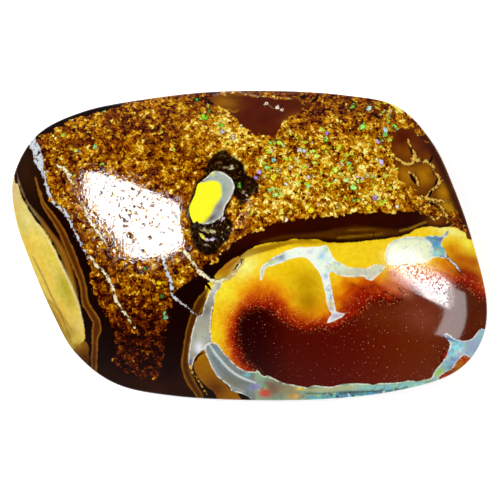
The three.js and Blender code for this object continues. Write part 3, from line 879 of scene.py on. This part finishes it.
# How many grains flash with opal colour: x, y, radius across, radius down, turn, share.
FLASH_SHARES = [(335, 165, 56, 34, 0, 0.5), (275, 185, 26, 22, 0, 0.4), (382, 118, 24, 18, 0, 0.6),
                (225, 125, 22, 18, 0, 0.25), (280, 140, 20, 12, 0, 0.4), (110, 140, 60, 30, 0, 0.06)]

# The great nut's colour outside its dark kidney: distance from the kidney, and colour.
NUT_RAMP = [(0, (84, 6, 0)), (3, (138, 18, 0)), (7, (176, 48, 2)), (12, (208, 92, 6)),
            (17, (238, 148, 12)), (23, (250, 186, 20)), (31, NUT_YELLOW)]
# Inside the kidney its colour goes by how far right it is. Its lighter brown to the right is partly its
# own colour and partly a painted reflection of a faint veil of light.
KIDNEY_RAMP = [(238, (38, 1, 0)), (262, (46, 1, 0)), (290, (80, 9, 0)), (330, (87, 9, 1)),
               (372, (98, 20, 2)), (400, (106, 32, 4)), (430, (108, 38, 8)), (474, (88, 26, 3))]
# Where the ramp is drawn out (above 0) or pressed together: x, y, radii, turn and amount.
NUT_STRETCHES = [(262, 292, 26, 16, 0, 0.5), (356, 290, 30, 22, 0, 1.2), (222, 340, 12, 36, 0, -0.3),
                 (240, 304, 16, 18, 0, -0.4)]
NUT_WANDER = [(9, 4.0), (3.2, 2.2)]  # its colours wander over a size, by an amount
WANDER_SLICE = 0.5  # where the noise in space is cut
KIDNEY_BLEND = (-4, 2)
STRIPE_RIM = (-2.4, -0.8)  # pixels in from a line's edge, over which its rim's colour comes in


def along_ramp(place, ramp):
    """Each vertex's colour on a ramp of places and colours."""
    places = [stop[0] for stop in ramp]
    shades = np.array([linear(stop[1])**0.5 for stop in ramp])
    return np.stack([np.interp(place, places, shades[:, i])**2 for i in range(3)], axis=1)


def wandering(pixels, size):
    """Smooth random values from about -0.7 to 0.7, with bumps of a size in pixels."""
    return np.array([noise.noise(Vector((x / size, y / size, WANDER_SLICE))) for x, y in pixels])


def nut_colour(pixels):
    distance = shape_distance(pixels, KIDNEY_PX)
    stretch = 1 + sum_of_spots(pixels, NUT_STRETCHES)
    wander = sum(amount * wandering(pixels, size) for size, amount in NUT_WANDER)
    outside = along_ramp(distance / stretch + wander, NUT_RAMP)
    inside = along_ramp(pixels[:, 0], KIDNEY_RAMP)
    share = smoothstep(distance, *KIDNEY_BLEND)[:, None]
    return inside * (1 - share) + outside * share


def oval(x, y, across, down, turn=0):
    """An oval's outline, turned clockwise in the photograph."""
    angles = np.arange(OVAL_POINTS) * 2 * math.pi / OVAL_POINTS
    cos = math.cos(math.radians(turn))
    sin = math.sin(math.radians(turn))
    right = across * np.cos(angles)
    below = down * np.sin(angles)
    return np.stack([x + right * cos - below * sin, y + right * sin + below * cos], axis=1)


def edged(line, middle, rim):
    """The shade of a line that is one colour in its middle and another along both its sides."""
    def shade(pixels):
        share = smoothstep(shape_distance(pixels, line), *STRIPE_RIM)[:, None]
        return linear(middle) * (1 - share) + linear(rim) * share
    return shade


def narrowed(line):
    return [(x, y, width * VEIN_SHARE) for x, y, width in line]


# Each layer's shapes with their colours. A later shape lies over an earlier one.
IRONSTONE = [
    (SHELL_PX, BLACK_BROWN), (TOP_LEFT_RIM_PX, BLACK_BROWN), (TOP_PATCH_PX, PATCH_RED_BROWN),
    (RIGHT_PATCH_PX, PATCH_BROWN),
]
JASPER = [
    (STRIPES_PX["inner"], edged(STRIPES_PX["inner"], STRIPE_GOLD, STRIPE_DARK)),
    (STRIPES_PX["middle"], edged(STRIPES_PX["middle"], STRIPE_DARK, STRIPE_GOLD)),
    (LENS_PX, LENS_YELLOW), (UNDER_LENS_PX, UNDER_LENS_BROWN), (NUT_PX, nut_colour),
    (UPPER_STRIP_PX, STRIP_OCHRE), (TOP_STRIP_PX, TOP_OCHRE),
    (LOWER_STRIP_PX, edged(LOWER_STRIP_PX, STRIP_DARK, STRIP_GOLD)),
    (FOOT_PATCH_PX, FOOT_OCHRE), (TOP_EDGE_GLINT_PX, TOP_EDGE_GLINT_YELLOW),
]
OPAL = [
    (WYE_PX, WYE_WHITE), (CRESCENT_PX, CRESCENT_GREY), (PALE_OVAL_PX, OVAL_CREAM),
    (BLUE_PATCH_PX, PATCH_BLUE), (LEFT_SEAM_PX, SEAM_GREY), (LOWER_SEAM_PX, SEAM_SLATE),
    (BOTTOM_SEAM_PX, SEAM_GREEN), (CORNER_SEAM_PX, CORNER_BLUE), (EYE_SHELL_PX, SHELL_GREY),
    (EYE_PX, EYE_YELLOW),
]
VEINS = [
    (VEINS_PX["left"], VEIN_GREY), (narrowed(VEINS_PX["upper_fork"]), VEIN_CREAM),
    (narrowed(VEINS_PX["lower_fork"]), VEIN_CREAM), (narrowed(VEINS_PX["lobe"]), VEIN_CREAM),
    (narrowed(VEINS_PX["drop"]), VEIN_GREY), (narrowed(VEINS_PX["bridge"]), VEIN_CREAM),
    (VEINS_PX["thread"], VEIN_GREY), (VEINS_PX["foot_line"], VEIN_GOLD),
    *[(narrowed(VEINS_PX[name]), VEIN_GOLD) for name in PATCH_VEINS],
    *[(oval(*chip[:5]), chip[5]) for chip in POCKET_CHIPS],
    *[(oval(x, y, radius, radius), shade) for x, y, radius, shade in SAND_FLASHES],
]
# Name, shapes, tints and strokes of each layer, which lies over the one before it.
LAYERS = [
    ("ironstone", IRONSTONE, IRONSTONE_TINTS, IRONSTONE_STROKES),
    ("jasper", JASPER, JASPER_TINTS, JASPER_STROKES),
    ("opal", OPAL, OPAL_TINTS, OPAL_STROKES),
    ("vein", VEINS, (), ()),
]
# How strongly the opal's own colour play shows, in the same columns.
FIRE_SHARES = [(262, 387, 6, 4, 0, 0.4), (350, 398, 46, 5, 0, 0.9), (410, 392, 34, 6, 0, 0.9),
               (455, 352, 14, 16, 0, 0.4), (440, 246, 8, 10, 0, 0.4), (272, 262, 12, 6, 0, 0.5),
               (330, 284, 8, 34, 0, 0.4)]
# Where the dark kidney shows most bright specks, which are painted glints: its middle right and its top
# left.
GLINT_SHARES = [(396, 340, 50, 34, 0, 0.9), (275, 325, 26, 22, 0, 0.5)]
# Where the sand has dull grains that don't mirror the light, and where the polish is scuffed.
WORN = [(135, 215, 52, 44, 40, 1.0)]
SCUFFED = [(415, 268, 26, 11, 20, 1.0), (443, 292, 10, 16, -30, 0.6)]
BASE_BARE = 90  # pixels by which the markings draw back over the last of the lower edge
BARE_STEP = (0.75, 1.0)

# Distances in pixels over which the surface sinks and the patterns fade, at the markings' edges.
SLIT_WALL = (-1.0, 0.4)
SAND_WALL = (-0.5, 1.5)
KIDNEY_EDGE = (-5, 1)
HALO_FADE = (8, 24)
POCKET_EDGE = (-1.5, 1.5)
EYE_EDGE = (0, 2)

# Colour ramps of the material.
SAND_RAMP = [(0.0, (20, 1, 0)), (0.16, (62, 8, 0)), (0.3, (98, 32, 0)), (0.43, (132, 66, 0)),
             (0.57, (172, 106, 2)), (0.71, (216, 156, 8)), (0.84, (252, 210, 44)),
             (0.94, (255, 250, 150))]
WARM_RAMP = [(0.0, (60, 6, 0)), (0.4, (150, 60, 0)), (0.7, (214, 124, 4)), (1.0, (255, 206, 60))]
FLASH_RAMP = [(0.0, (214, 190, 234)), (0.36, (250, 226, 60)), (0.46, (196, 240, 50)),
              (0.53, (120, 230, 70)), (0.6, (140, 230, 180)), (0.64, (250, 244, 200))]
FIRE_RAMP = [(0.0, (40, 62, 110)), (0.16, (60, 206, 236)), (0.36, (96, 226, 160)),
             (0.5, (240, 255, 240)), (0.6, (206, 222, 90)), (0.7, (140, 126, 232)),
             (0.8, (40, 46, 56)), (0.96, (236, 130, 50))]
POCKET_RAMP = [(0.0, (10, 2, 0)), (0.62, (24, 6, 0)), (0.8, (54, 32, 8)), (0.94, (100, 76, 34)),
               (1.0, (150, 130, 84))]
IRONSTONE_STREAKS = [(0.25, (206, 186, 170)), (0.75, (255, 255, 255))]
JASPER_CLOUDS = [(0.3, (240, 230, 212)), (0.6, (255, 255, 255))]
OPAL_CLOUDS = [(0.24, (186, 204, 238)), (0.42, (240, 248, 255)), (0.52, (255, 255, 252)),
               (0.64, (240, 252, 246)), (0.76, (206, 238, 220))]
VEIN_CLOUDS = [(0.34, (150, 100, 40)), (0.46, (255, 255, 255))]
SAND_CEMENT = (48, 16, 0)
SLIT_BLACK = (10, 3, 0)
# The colour of the painted glints in the dark kidney.
GLINT_SPECK = (250, 196, 170)
HALO_SPECK = (255, 186, 110)
HALO_DARK = (110, 10, 0)
YELLOW_DOT = (150, 110, 0)

# Noise patterns of the material: waves per millimetre, detail and roughness.
BENDING = (3.6, 2.0, 0.5)
DUST = (6.0, 3.0, 0.6)
PATCHES = (1.5, 2.0, 0.5)
CLOUDS = (0.5, 3.0, 0.5)
SWARMS = (1.1, 2.0, 0.5)
GRIT = (6.5, 2.0, 0.7)
CLOUDING = (2.4, 5.0, 0.65)
STREAKS = (1.2, 4.0, 0.6)
CRUMBLING = (6.0, 2.0, 0.6)
GAPS = (1.7, 2.0, 0.5)
SCUFFS = (4.6, 3.0, 0.6)
FINE_WANDER = (5.0, 3.0, 0.6)
VEIN_WANDER = (2.8, 2.0, 0.5)
COARSE_WANDER = (1.4, 2.0, 0.5)

# Its cells, in cells per millimetre.
BIG_GRAINS = 2.9
BIG_GRAIN_SMOOTHNESS = 0.3
SMALL_GRAINS = 5.4
SPECK_CELLS = 4.4
FIRE_CELLS = 3.4

# Names in _STEP give the two values between which a pattern fades in, or out if the first is more.
# The sand: how far each pattern moves a grain along SAND_RAMP, and what else it shows.
SAND_MIDDLE = 0.44
BIG_GRAIN_PART = 0.44
SMALL_GRAIN_PART = 0.26
DUST_PART = 0.9
PATCH_PART = 0.8
CLOUD_PART = 0.5
GLITTER_ABOVE = 0.93
GLITTER_PART = 0.26
SOOT_BELOW = 0.04
SOOT_PART = 0.4
WARM_PATCH_STEP = (0.48, 0.62)
WARM_GRAIN_STEP = (0.25, 0.5)
WARM_STRENGTH = 0.55
SWARM_STEP = (0.4, 0.68)
FLASH_ABOVE = 1.0
FLASH_STEP = (0.36, 0.5)
FLASH_STRENGTH = 0.85
FLASH_MOST = 0.6
CEMENT_STEP = (0.09, 0.0)
CEMENT_STRENGTH = 0.4
POCKET_GRAIN_PART = 0.55
POCKET_DUST_PART = 0.6

# The jasper's grit, specks and dots.
BRIGHT_GRIT_STEP = (0.58, 0.68)
BRIGHT_GRIT_STRENGTH = 0.45
DARK_GRIT_STEP = (0.46, 0.34)
DARK_GRIT_STRENGTH = 0.75
SPECK_STEP = (0.2, 0.1)
SPECKS_ABOVE = 0.56
SPECK_STRENGTH = 0.85
GLINT_LEAST = 0.3
GLINT_MOST = 1.0
DOTS_BELOW = 0.12
DOTS_UP_TO_GLINT = 0.7
DOT_STRENGTH = 0.8

# The opal's play of colour and its pale rim.
FIRE_STEP = (0.25, 0.6)
RIM_STEP = (-1.8, -0.4)
RIM_GAP_STEP = (0.42, 0.54)
RIM_STRENGTH = 0.75

# The layers' edges, in pixels: how far the noises move an edge, and how soft it is.
FINE_REACH = 1.6
COARSE_REACH = 2.4
GRAIN_REACH = 3.6
EDGE_SHARES = {"jasper": 1.1, "opal": 0.85, "slit": 0.7}
VEIN_REACH = 5.0
VEIN_FINE_REACH = 4.0
SOFTNESS = {"ironstone": 0.7, "jasper": 0.6, "opal": 0.45, "vein": 0.5, "slit": 0.4}
GAP_STEP = (0.34, 0.42)
BESIDE_VEIN_STEP = (2.2, 0.6)
BESIDE_VEIN_STRENGTH = 0.5
HOLE_STEP = (0.25, 0.6)

# The polish and the fine relief.
BEND = 0.4  # how far cells are bent, in millimetres
STONE_IOR = 1.55
POLISH = 0.06
WORN_ABOVE = 0.84
WORN_ROUGHNESS = 0.5
SCUFF_STEP = (0.49, 0.54)
GRAIN_RELIEF = 0.006  # millimetres
GRAIN_TOP = 0.6
GRAIN_HEIGHT = 0.6
FINE_HEIGHT = 0.15

FLOOR_SIZE = 1.6
FLOOR_GAP = 0.00005  # the floor lies a hair under the base, so the two flats don't coincide
FLOOR_COLOUR = (250, 250, 250)
FLOOR_ROUGHNESS = 0.9
FLOOR_GLOW = 0.66  # the stone lies on a faintly lit table, which keeps its shadow pale
WORLD_HORIZON = 0.1
WORLD_ZENITH = 0.005
WORLD_HEIGHTS = (0.25, 0.8)  # the world darkens between these heights above the horizon
LAMP_DISTANCE = 0.6
# Name, direction, width, height, radiance and twist. The stone mirrors the left one as a bright
# window, and those on the right together as a bent strip that fades out downwards.
LAMPS = [
    ("softbox_left", (-0.39, 0.176, 0.90), 0.155, 0.194, 31.0, -4),
    ("softbox_right", (0.636, -0.092, 0.766), 0.057, 0.122, 20.0, -17),
    ("softbox_right_end", (0.686, 0.022, 0.727), 0.033, 0.08, 18.0, -46),
    ("softbox_right_glow", (0.645, -0.075, 0.76), 0.085, 0.165, 4.0, -22),
    ("softbox_right_veil", (0.676, -0.257, 0.691), 0.1, 0.361, 5.0, -23),
]


# The mesh

def mesh_normals(points, triangles):
    sides = points[triangles]
    faces = np.cross(sides[:, 1] - sides[:, 0], sides[:, 2] - sides[:, 0])
    normals = np.zeros_like(points)
    for corner in range(3):
        np.add.at(normals, triangles[:, corner], faces)
    return normals / np.linalg.norm(normals, axis=1)[:, None]


def pit_share(pixels):
    """1 in the middle of a pit, 0 outside them all."""
    depth = np.zeros(len(pixels))
    for x, y, radius in PITS_PX:
        depth = np.maximum(depth, spot(pixels, x, y, radius, radius))
    return depth


def add_values(mesh, name, values):
    mesh.attributes.new(name, "FLOAT", "POINT").data.foreach_set("value", values.astype(np.float32))


def add_colours(mesh, name, colours):
    four = np.column_stack([colours, np.ones(len(colours))]).astype(np.float32)
    mesh.attributes.new(name, "FLOAT_COLOR", "POINT").data.foreach_set("color", four.ravel())


def make_stone():
    points, triangles, shares, rises = loft_stone()
    pixels = unrolled_pixels(points, shares, rises)
    # The markings thin out under the lower edge, and the flat base is bare ironstone.
    under = BASE_BARE * smoothstep(-rises, *BARE_STEP)
    edges = {}
    colours = {}
    for name, layer, tints, strokes in LAYERS:
        edge, colours[name] = paint_layer(pixels, layer, tints, strokes)
        edges[name] = edge + under
    slit_edge = union_distance(pixels, SLITS_PX.values())
    pit = pit_share(pixels)

    inlay_edge = np.minimum.reduce([edges["ironstone"], edges["jasper"], edges["opal"]])
    sunk = SLIT_DEPTH * (1 - smoothstep(slit_edge, *SLIT_WALL)) + PIT_DEPTH * pit
    sunk += SAND_SINKS * smoothstep(inlay_edge, *SAND_WALL)
    top = rises > 0
    points[top] -= mesh_normals(points, triangles)[top] * sunk[top, None]

    kidney_edge = shape_distance(pixels, KIDNEY_PX)
    in_kidney = 1 - smoothstep(kidney_edge, *KIDNEY_EDGE)
    glint = np.clip(GLINT_LEAST + sum_of_spots(pixels, GLINT_SHARES), GLINT_LEAST, GLINT_MOST)
    values = {
        "slit_edge": slit_edge,
        "pocket": 1 - smoothstep(shape_distance(pixels, POCKET_PX), *POCKET_EDGE),
        "pit": pit,
        "calm": 1 - smoothstep(shape_distance(pixels, EYE_PX), *EYE_EDGE),
        "tone": sum_of_spots(pixels, SAND_TONES),
        "flash": np.clip(sum_of_spots(pixels, FLASH_SHARES), 0, FLASH_MOST),
        "glint": in_kidney * glint,
        "halo": (1 - in_kidney) * (1 - smoothstep(kidney_edge, *HALO_FADE)),
        "fire": np.clip(sum_of_spots(pixels, FIRE_SHARES), 0, 1),
        "worn": sum_of_spots(pixels, WORN),
        "scuffed": sum_of_spots(pixels, SCUFFED),
    }

    mesh = bpy.data.meshes.new("boulder_opal_surface")
    mesh.from_pydata((points * MM).tolist(), [], triangles.tolist())
    mesh.polygons.foreach_set("use_smooth", np.ones(len(triangles), bool))
    for name in colours:
        add_values(mesh, name + "_edge", edges[name])
        add_colours(mesh, name + "_colour", colours[name])
    for name in values:
        add_values(mesh, name, values[name])
    stone = bpy.data.objects.new("boulder_opal_surface", mesh)
    bpy.context.scene.collection.objects.link(stone)
    return stone


# The material

class Graph:
    """Short ways to add nodes to one material."""

    def __init__(self, tree):
        self.tree = tree
        tree.nodes.clear()

    def add(self, kind, inputs=(), **settings):
        """A node of a kind, with its settings and its inputs by name or number."""
        node = self.tree.nodes.new(kind)
        for name, value in settings.items():
            setattr(node, name, value)
        for key, value in dict(inputs).items():
            self.feed(node.inputs[key], value)
        return node

    def feed(self, socket, value):
        if isinstance(value, bpy.types.NodeSocket):
            self.tree.links.new(value, socket)
        else:
            socket.default_value = value

    def math(self, operation, first, second=0.0, clamp=False):
        node = self.add("ShaderNodeMath", {0: first, 1: second}, operation=operation)
        node.use_clamp = clamp
        return node.outputs[0]

    def times(self, first, second):
        return self.math("MULTIPLY", first, second)

    def plus(self, first, second):
        return self.math("ADD", first, second)

    def without(self, share):
        return self.math("SUBTRACT", 1.0, share)

    def centred(self, value):
        """A value from 0 to 1, moved to lie about 0."""
        return self.math("SUBTRACT", value, 0.5)

    def inside(self, distance, softness):
        """1 where a distance in pixels is below 0."""
        return self.steps(distance, -softness, softness, 1.0, 0.0)

    def value(self, name):
        return self.add("ShaderNodeAttribute", attribute_name=name).outputs["Fac"]

    def colour(self, name):
        return self.add("ShaderNodeAttribute", attribute_name=name).outputs["Color"]

    def mix(self, share, first, second, blend="MIX"):
        """Mixes two colours: sockets, or colours as the photograph shows them."""
        node = self.add("ShaderNodeMix", data_type="RGBA", blend_type=blend)
        sockets = [s for s in node.inputs if s.type == "RGBA"]
        self.feed(node.inputs[0], share)
        for socket, shade in zip(sockets, (first, second)):
            self.feed(socket, as_rgba(shade))
        return [s for s in node.outputs if s.type == "RGBA"][0]

    def noise(self, place, pattern, output="Fac"):
        scale, detail, roughness = pattern
        node = self.add("ShaderNodeTexNoise", {
            "Vector": place, "Scale": scale, "Detail": detail, "Roughness": roughness})
        return node.outputs[output]

    def voronoi(self, place, scale, feature="F1"):
        node = self.add("ShaderNodeTexVoronoi", feature=feature)
        self.feed(node.inputs["Vector"], place)
        self.feed(node.inputs["Scale"], scale)
        return node

    def channels(self, colour):
        return self.add("ShaderNodeSeparateColor", {0: colour}).outputs

    def steps(self, value, low, high, to_low=0.0, to_high=1.0):
        node = self.add("ShaderNodeMapRange", {
            "Value": value, "From Min": low, "From Max": high, "To Min": to_low,
            "To Max": to_high}, interpolation_type="SMOOTHSTEP")
        return node.outputs["Result"]

    def ramp(self, share, stops, interpolation="LINEAR"):
        node = self.add("ShaderNodeValToRGB", {"Fac": share})
        band = node.color_ramp
        band.interpolation = interpolation
        while len(band.elements) < len(stops):
            band.elements.new(1.0)
        for element, (place, shade) in zip(band.elements, stops):
            element.position = place
            element.color = as_rgba(shade)
        return node.outputs["Color"]


def as_rgba(shade):
    if isinstance(shade, bpy.types.NodeSocket):
        return shade
    return (*linear(shade), 1.0)


def in_millimetres(g):
    """The surface's own place, and the same bent a little so that no cell has straight sides."""
    place = g.add("ShaderNodeVectorMath", {
        0: g.add("ShaderNodeTexCoord").outputs["Object"], 1: (1 / MM,) * 3},
        operation="MULTIPLY").outputs[0]
    bend = g.add("ShaderNodeVectorMath", {
        0: g.noise(place, BENDING, "Color"), 1: (0.5,) * 3},
        operation="SUBTRACT").outputs[0]
    bend = g.add("ShaderNodeVectorMath", {0: bend, "Scale": BEND}, operation="SCALE").outputs[0]
    return place, g.add("ShaderNodeVectorMath", {0: place, 1: bend}, operation="ADD").outputs[0]


def sand_colour(g, place, bent, big_random, small_random):
    """Grains in many browns with dark cement between them, and some that flash like opal."""
    dust = g.noise(bent, DUST)
    patches = g.channels(g.noise(bent, PATCHES, "Color"))
    grain = g.plus(g.value("tone"), SAND_MIDDLE)
    for random, part in ((big_random[0], BIG_GRAIN_PART), (small_random[0], SMALL_GRAIN_PART),
                         (dust, DUST_PART), (patches[0], PATCH_PART),
                         (g.noise(place, CLOUDS), CLOUD_PART)):
        grain = g.plus(grain, g.times(g.centred(random), part))
    # Glitter lifts a few grains to the ramp's pale top: partly pale grains, partly painted sparkle
    # highlights.
    glitter = g.math("GREATER_THAN", small_random[2], GLITTER_ABOVE)
    grain = g.plus(grain, g.times(glitter, GLITTER_PART))
    soot = g.math("LESS_THAN", small_random[2], SOOT_BELOW)
    grain = g.math("SUBTRACT", grain, g.times(soot, SOOT_PART), clamp=True)
    sand = g.ramp(grain, SAND_RAMP)
    warm = g.times(g.steps(patches[1], *WARM_PATCH_STEP), g.steps(grain, *WARM_GRAIN_STEP))
    sand = g.mix(g.times(warm, WARM_STRENGTH), sand, g.ramp(grain, WARM_RAMP))
    swarm = g.steps(g.noise(place, SWARMS), *SWARM_STEP)
    flash = g.plus(big_random[1], g.times(g.value("flash"), swarm))
    flash = g.times(g.math("GREATER_THAN", flash, FLASH_ABOVE), g.steps(dust, *FLASH_STEP))
    sand = g.mix(g.times(flash, FLASH_STRENGTH), sand, g.ramp(patches[2], FLASH_RAMP, "CONSTANT"))
    to_edge = g.voronoi(bent, BIG_GRAINS, "DISTANCE_TO_EDGE").outputs["Distance"]
    cement = g.steps(to_edge, *CEMENT_STEP)
    sand = g.mix(g.times(cement, CEMENT_STRENGTH), sand, SAND_CEMENT)
    rough_ground = g.plus(g.times(small_random[0], POCKET_GRAIN_PART), g.times(dust, POCKET_DUST_PART))
    return g.mix(g.value("pocket"), sand, g.ramp(rough_ground, POCKET_RAMP))


def jasper_colour(g, place, clouding):
    """Its painted colour with clouds, bright specks in the dark kidney that are painted glints, and
    grit in the halo round it.
    """
    jasper = g.mix(1.0, g.colour("jasper_colour"), g.ramp(clouding, JASPER_CLOUDS), "MULTIPLY")
    halo = g.value("halo")
    grit = g.noise(place, GRIT)
    bright_grit = g.times(halo, g.steps(grit, *BRIGHT_GRIT_STEP))
    jasper = g.mix(g.times(bright_grit, BRIGHT_GRIT_STRENGTH), jasper, HALO_SPECK)
    dark_grit = g.times(halo, g.steps(grit, *DARK_GRIT_STEP))
    jasper = g.mix(g.times(dark_grit, DARK_GRIT_STRENGTH), jasper, HALO_DARK)
    speck = g.voronoi(place, SPECK_CELLS)
    random = g.channels(speck.outputs["Color"])
    round_speck = g.steps(speck.outputs["Distance"], *SPECK_STEP)
    # Bright specks in the kidney: painted glints.
    bright = g.times(round_speck, g.math("GREATER_THAN", random[0], SPECKS_ABOVE))
    bright = g.times(g.times(bright, g.value("glint")), g.times(random[1], SPECK_STRENGTH))
    jasper = g.mix(bright, jasper, GLINT_SPECK)
    dot = g.times(round_speck, g.math("LESS_THAN", random[0], DOTS_BELOW))
    dot = g.times(dot, g.math("SUBTRACT", DOTS_UP_TO_GLINT, g.value("glint"), clamp=True))
    return g.mix(g.times(dot, DOT_STRENGTH), jasper, YELLOW_DOT)


def opal_colour(g, bent, clouding, distance):
    """Its painted colour with patches of colour play, and a pale rim here and there."""
    random = g.channels(g.voronoi(bent, FIRE_CELLS).outputs["Color"])
    fire = g.times(g.value("fire"), g.steps(random[1], *FIRE_STEP))
    opal = g.mix(fire, g.colour("opal_colour"), g.ramp(random[0], FIRE_RAMP, "CONSTANT"))
    lively = g.without(g.value("calm"))
    opal = g.mix(lively, opal, g.ramp(clouding, OPAL_CLOUDS), "MULTIPLY")
    rim = g.times(g.steps(distance, *RIM_STEP), g.steps(clouding, *RIM_GAP_STEP))
    return g.mix(g.times(g.times(rim, lively), RIM_STRENGTH), opal, RIM_WHITE)


def layer_shares(g, place, distances):
    """How much of each layer, and of the slits, shows at each place."""
    shares = {name: g.inside(distance, SOFTNESS[name]) for name, distance in distances.items()}
    shares["vein"] = g.times(shares["vein"], g.steps(g.noise(place, GAPS), *GAP_STEP))
    return shares


def stone_material():
    material = bpy.data.materials.new("opal_in_ironstone")
    material.use_nodes = True
    g = Graph(material.node_tree)
    output = g.add("ShaderNodeOutputMaterial")
    shader = g.add("ShaderNodeBsdfPrincipled")
    g.feed(output.inputs["Surface"], shader.outputs["BSDF"])
    shader.inputs["IOR"].default_value = STONE_IOR

    place, bent = in_millimetres(g)
    big = g.voronoi(bent, BIG_GRAINS, "SMOOTH_F1")
    big.inputs["Smoothness"].default_value = BIG_GRAIN_SMOOTHNESS
    big_random = g.channels(big.outputs["Color"])
    small_random = g.channels(g.voronoi(bent, SMALL_GRAINS).outputs["Color"])
    clouding = g.noise(place, CLOUDING)

    # Edges wander: by whole grains where the ground is sand, and finely elsewhere.
    fine = g.centred(g.noise(place, FINE_WANDER))
    wander = g.plus(g.times(fine, FINE_REACH),
                    g.times(g.centred(g.noise(place, COARSE_WANDER)), COARSE_REACH))
    distances = {name: g.plus(g.value(name + "_edge"), g.times(wander, share))
                 for name, share in EDGE_SHARES.items()}
    by_grain = g.times(g.centred(big_random[0]), GRAIN_REACH)
    distances["ironstone"] = g.plus(g.value("ironstone_edge"), g.plus(by_grain, wander))
    by_vein = g.times(g.centred(g.noise(bent, VEIN_WANDER)), VEIN_REACH)
    distances["vein"] = g.plus(g.plus(g.value("vein_edge"), by_vein), g.times(fine, VEIN_FINE_REACH))
    shares = layer_shares(g, place, distances)

    streaks = g.ramp(g.noise(place, STREAKS), IRONSTONE_STREAKS)
    crumbs = g.ramp(g.noise(bent, CRUMBLING), VEIN_CLOUDS)
    colour = sand_colour(g, place, bent, big_random, small_random)
    colour = g.mix(shares["ironstone"], colour,
                   g.mix(1.0, g.colour("ironstone_colour"), streaks, "MULTIPLY"))
    colour = g.mix(shares["jasper"], colour, jasper_colour(g, place, clouding))
    colour = g.mix(shares["opal"], colour, opal_colour(g, bent, clouding, distances["opal"]))
    # Sand and cracked ground are darker right beside a vein.
    beside = g.times(g.steps(distances["vein"], *BESIDE_VEIN_STEP), g.without(shares["opal"]))
    colour = g.mix(g.times(beside, BESIDE_VEIN_STRENGTH), colour, SAND_CEMENT)
    colour = g.mix(shares["vein"], colour, g.mix(1.0, g.colour("vein_colour"), crumbs, "MULTIPLY"))
    hole = g.math("MAXIMUM", shares["slit"], g.steps(g.value("pit"), *HOLE_STEP))
    g.feed(shader.inputs["Base Color"], g.mix(hole, colour, SLIT_BLACK))

    covered = g.math("MAXIMUM", shares["ironstone"], shares["jasper"])
    bare = g.without(g.math("MAXIMUM", covered, shares["opal"]))
    dull_grains = g.times(g.math("GREATER_THAN", small_random[1], WORN_ABOVE), bare)
    scuffs = g.steps(g.noise(bent, SCUFFS), *SCUFF_STEP)
    worn = g.math("MAXIMUM", g.times(dull_grains, g.value("worn")), g.times(scuffs, g.value("scuffed")))
    g.feed(shader.inputs["Roughness"], g.plus(g.times(worn, WORN_ROUGHNESS), POLISH))

    rounded = g.plus(g.math("SUBTRACT", GRAIN_TOP, big.outputs["Distance"]), big_random[2])
    height = g.plus(g.times(g.times(rounded, bare), GRAIN_HEIGHT), g.times(fine, FINE_HEIGHT))
    bump = g.add("ShaderNodeBump", {"Strength": 1.0, "Distance": GRAIN_RELIEF * MM, "Height": height})
    g.feed(shader.inputs["Normal"], bump.outputs["Normal"])
    return material


# The studio

def softbox(name, direction, width, height, radiance, twist=0):
    """A lit rectangle that the stone sees in a direction. Its width lies along X before its twist."""
    light = bpy.data.lights.new(name, "AREA")
    light.shape = "RECTANGLE"
    light.size = width
    light.size_y = height
    light.energy = radiance * math.pi * width * height
    lamp = bpy.data.objects.new(name, light)
    towards = Vector(direction).normalized()
    across = Vector((1, 0, 0))
    across = (across - towards * across.dot(towards)).normalized()
    turned = Matrix((across, towards.cross(across), towards)).transposed()
    turned = turned @ Matrix.Rotation(math.radians(twist), 3, "Z")
    lamp.rotation_euler = turned.to_euler()
    lamp.location = towards * LAMP_DISTANCE
    bpy.context.scene.collection.objects.link(lamp)


def make_floor():
    half = FLOOR_SIZE / 2
    mesh = bpy.data.meshes.new("floor")
    sides = [(-half, -half), (half, -half), (half, half), (-half, half)]
    corners = [(x, y, -FLOOR_GAP) for x, y in sides]
    mesh.from_pydata(corners, [], [(0, 1, 2, 3)])
    floor = bpy.data.objects.new("floor", mesh)
    material = bpy.data.materials.new("pale_floor")
    material.use_nodes = True
    shader = material.node_tree.nodes["Principled BSDF"]
    shader.inputs["Base Color"].default_value = (*linear(FLOOR_COLOUR), 1.0)
    shader.inputs["Roughness"].default_value = FLOOR_ROUGHNESS
    shader.inputs["Emission Color"].default_value = (1, 1, 1, 1)
    shader.inputs["Emission Strength"].default_value = FLOOR_GLOW
    mesh.materials.append(material)
    bpy.context.scene.collection.objects.link(floor)


def make_world():
    """Pale round the horizon and dark overhead, where only the polish would mirror it."""
    world = bpy.data.worlds.new("studio")
    world.use_nodes = True
    bpy.context.scene.world = world
    g = Graph(world.node_tree)
    upwards = g.add("ShaderNodeSeparateXYZ", {0: g.add("ShaderNodeTexCoord").outputs["Generated"]})
    level = g.steps(upwards.outputs["Z"], *WORLD_HEIGHTS, WORLD_HORIZON, WORLD_ZENITH)
    light = g.add("ShaderNodeBackground", {"Color": (1, 1, 1, 1), "Strength": level})
    g.feed(g.add("ShaderNodeOutputWorld").inputs["Surface"], light.outputs[0])


def make_camera():
    camera = bpy.data.cameras.new("camera")
    camera.sensor_width = SENSOR
    camera.lens = SENSOR * CAMERA_DISTANCE / (FRAME_PIXELS * PIXEL)
    camera.clip_start = CLIP_NEAR
    camera.clip_end = CLIP_FAR
    holder = bpy.data.objects.new("camera", camera)
    holder.location = Vector(camera_place()) * MM
    bpy.context.scene.collection.objects.link(holder)
    bpy.context.scene.camera = holder


make_camera()
make_world()
make_floor()
for lamp in LAMPS:
    softbox(*lamp)
scene = bpy.context.scene
scene.view_settings.view_transform = "Standard"
scene.view_settings.look = "None"

stone = make_stone()
stone.data.materials.append(stone_material())
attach(stone, "root")
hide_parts("boulder_opal")
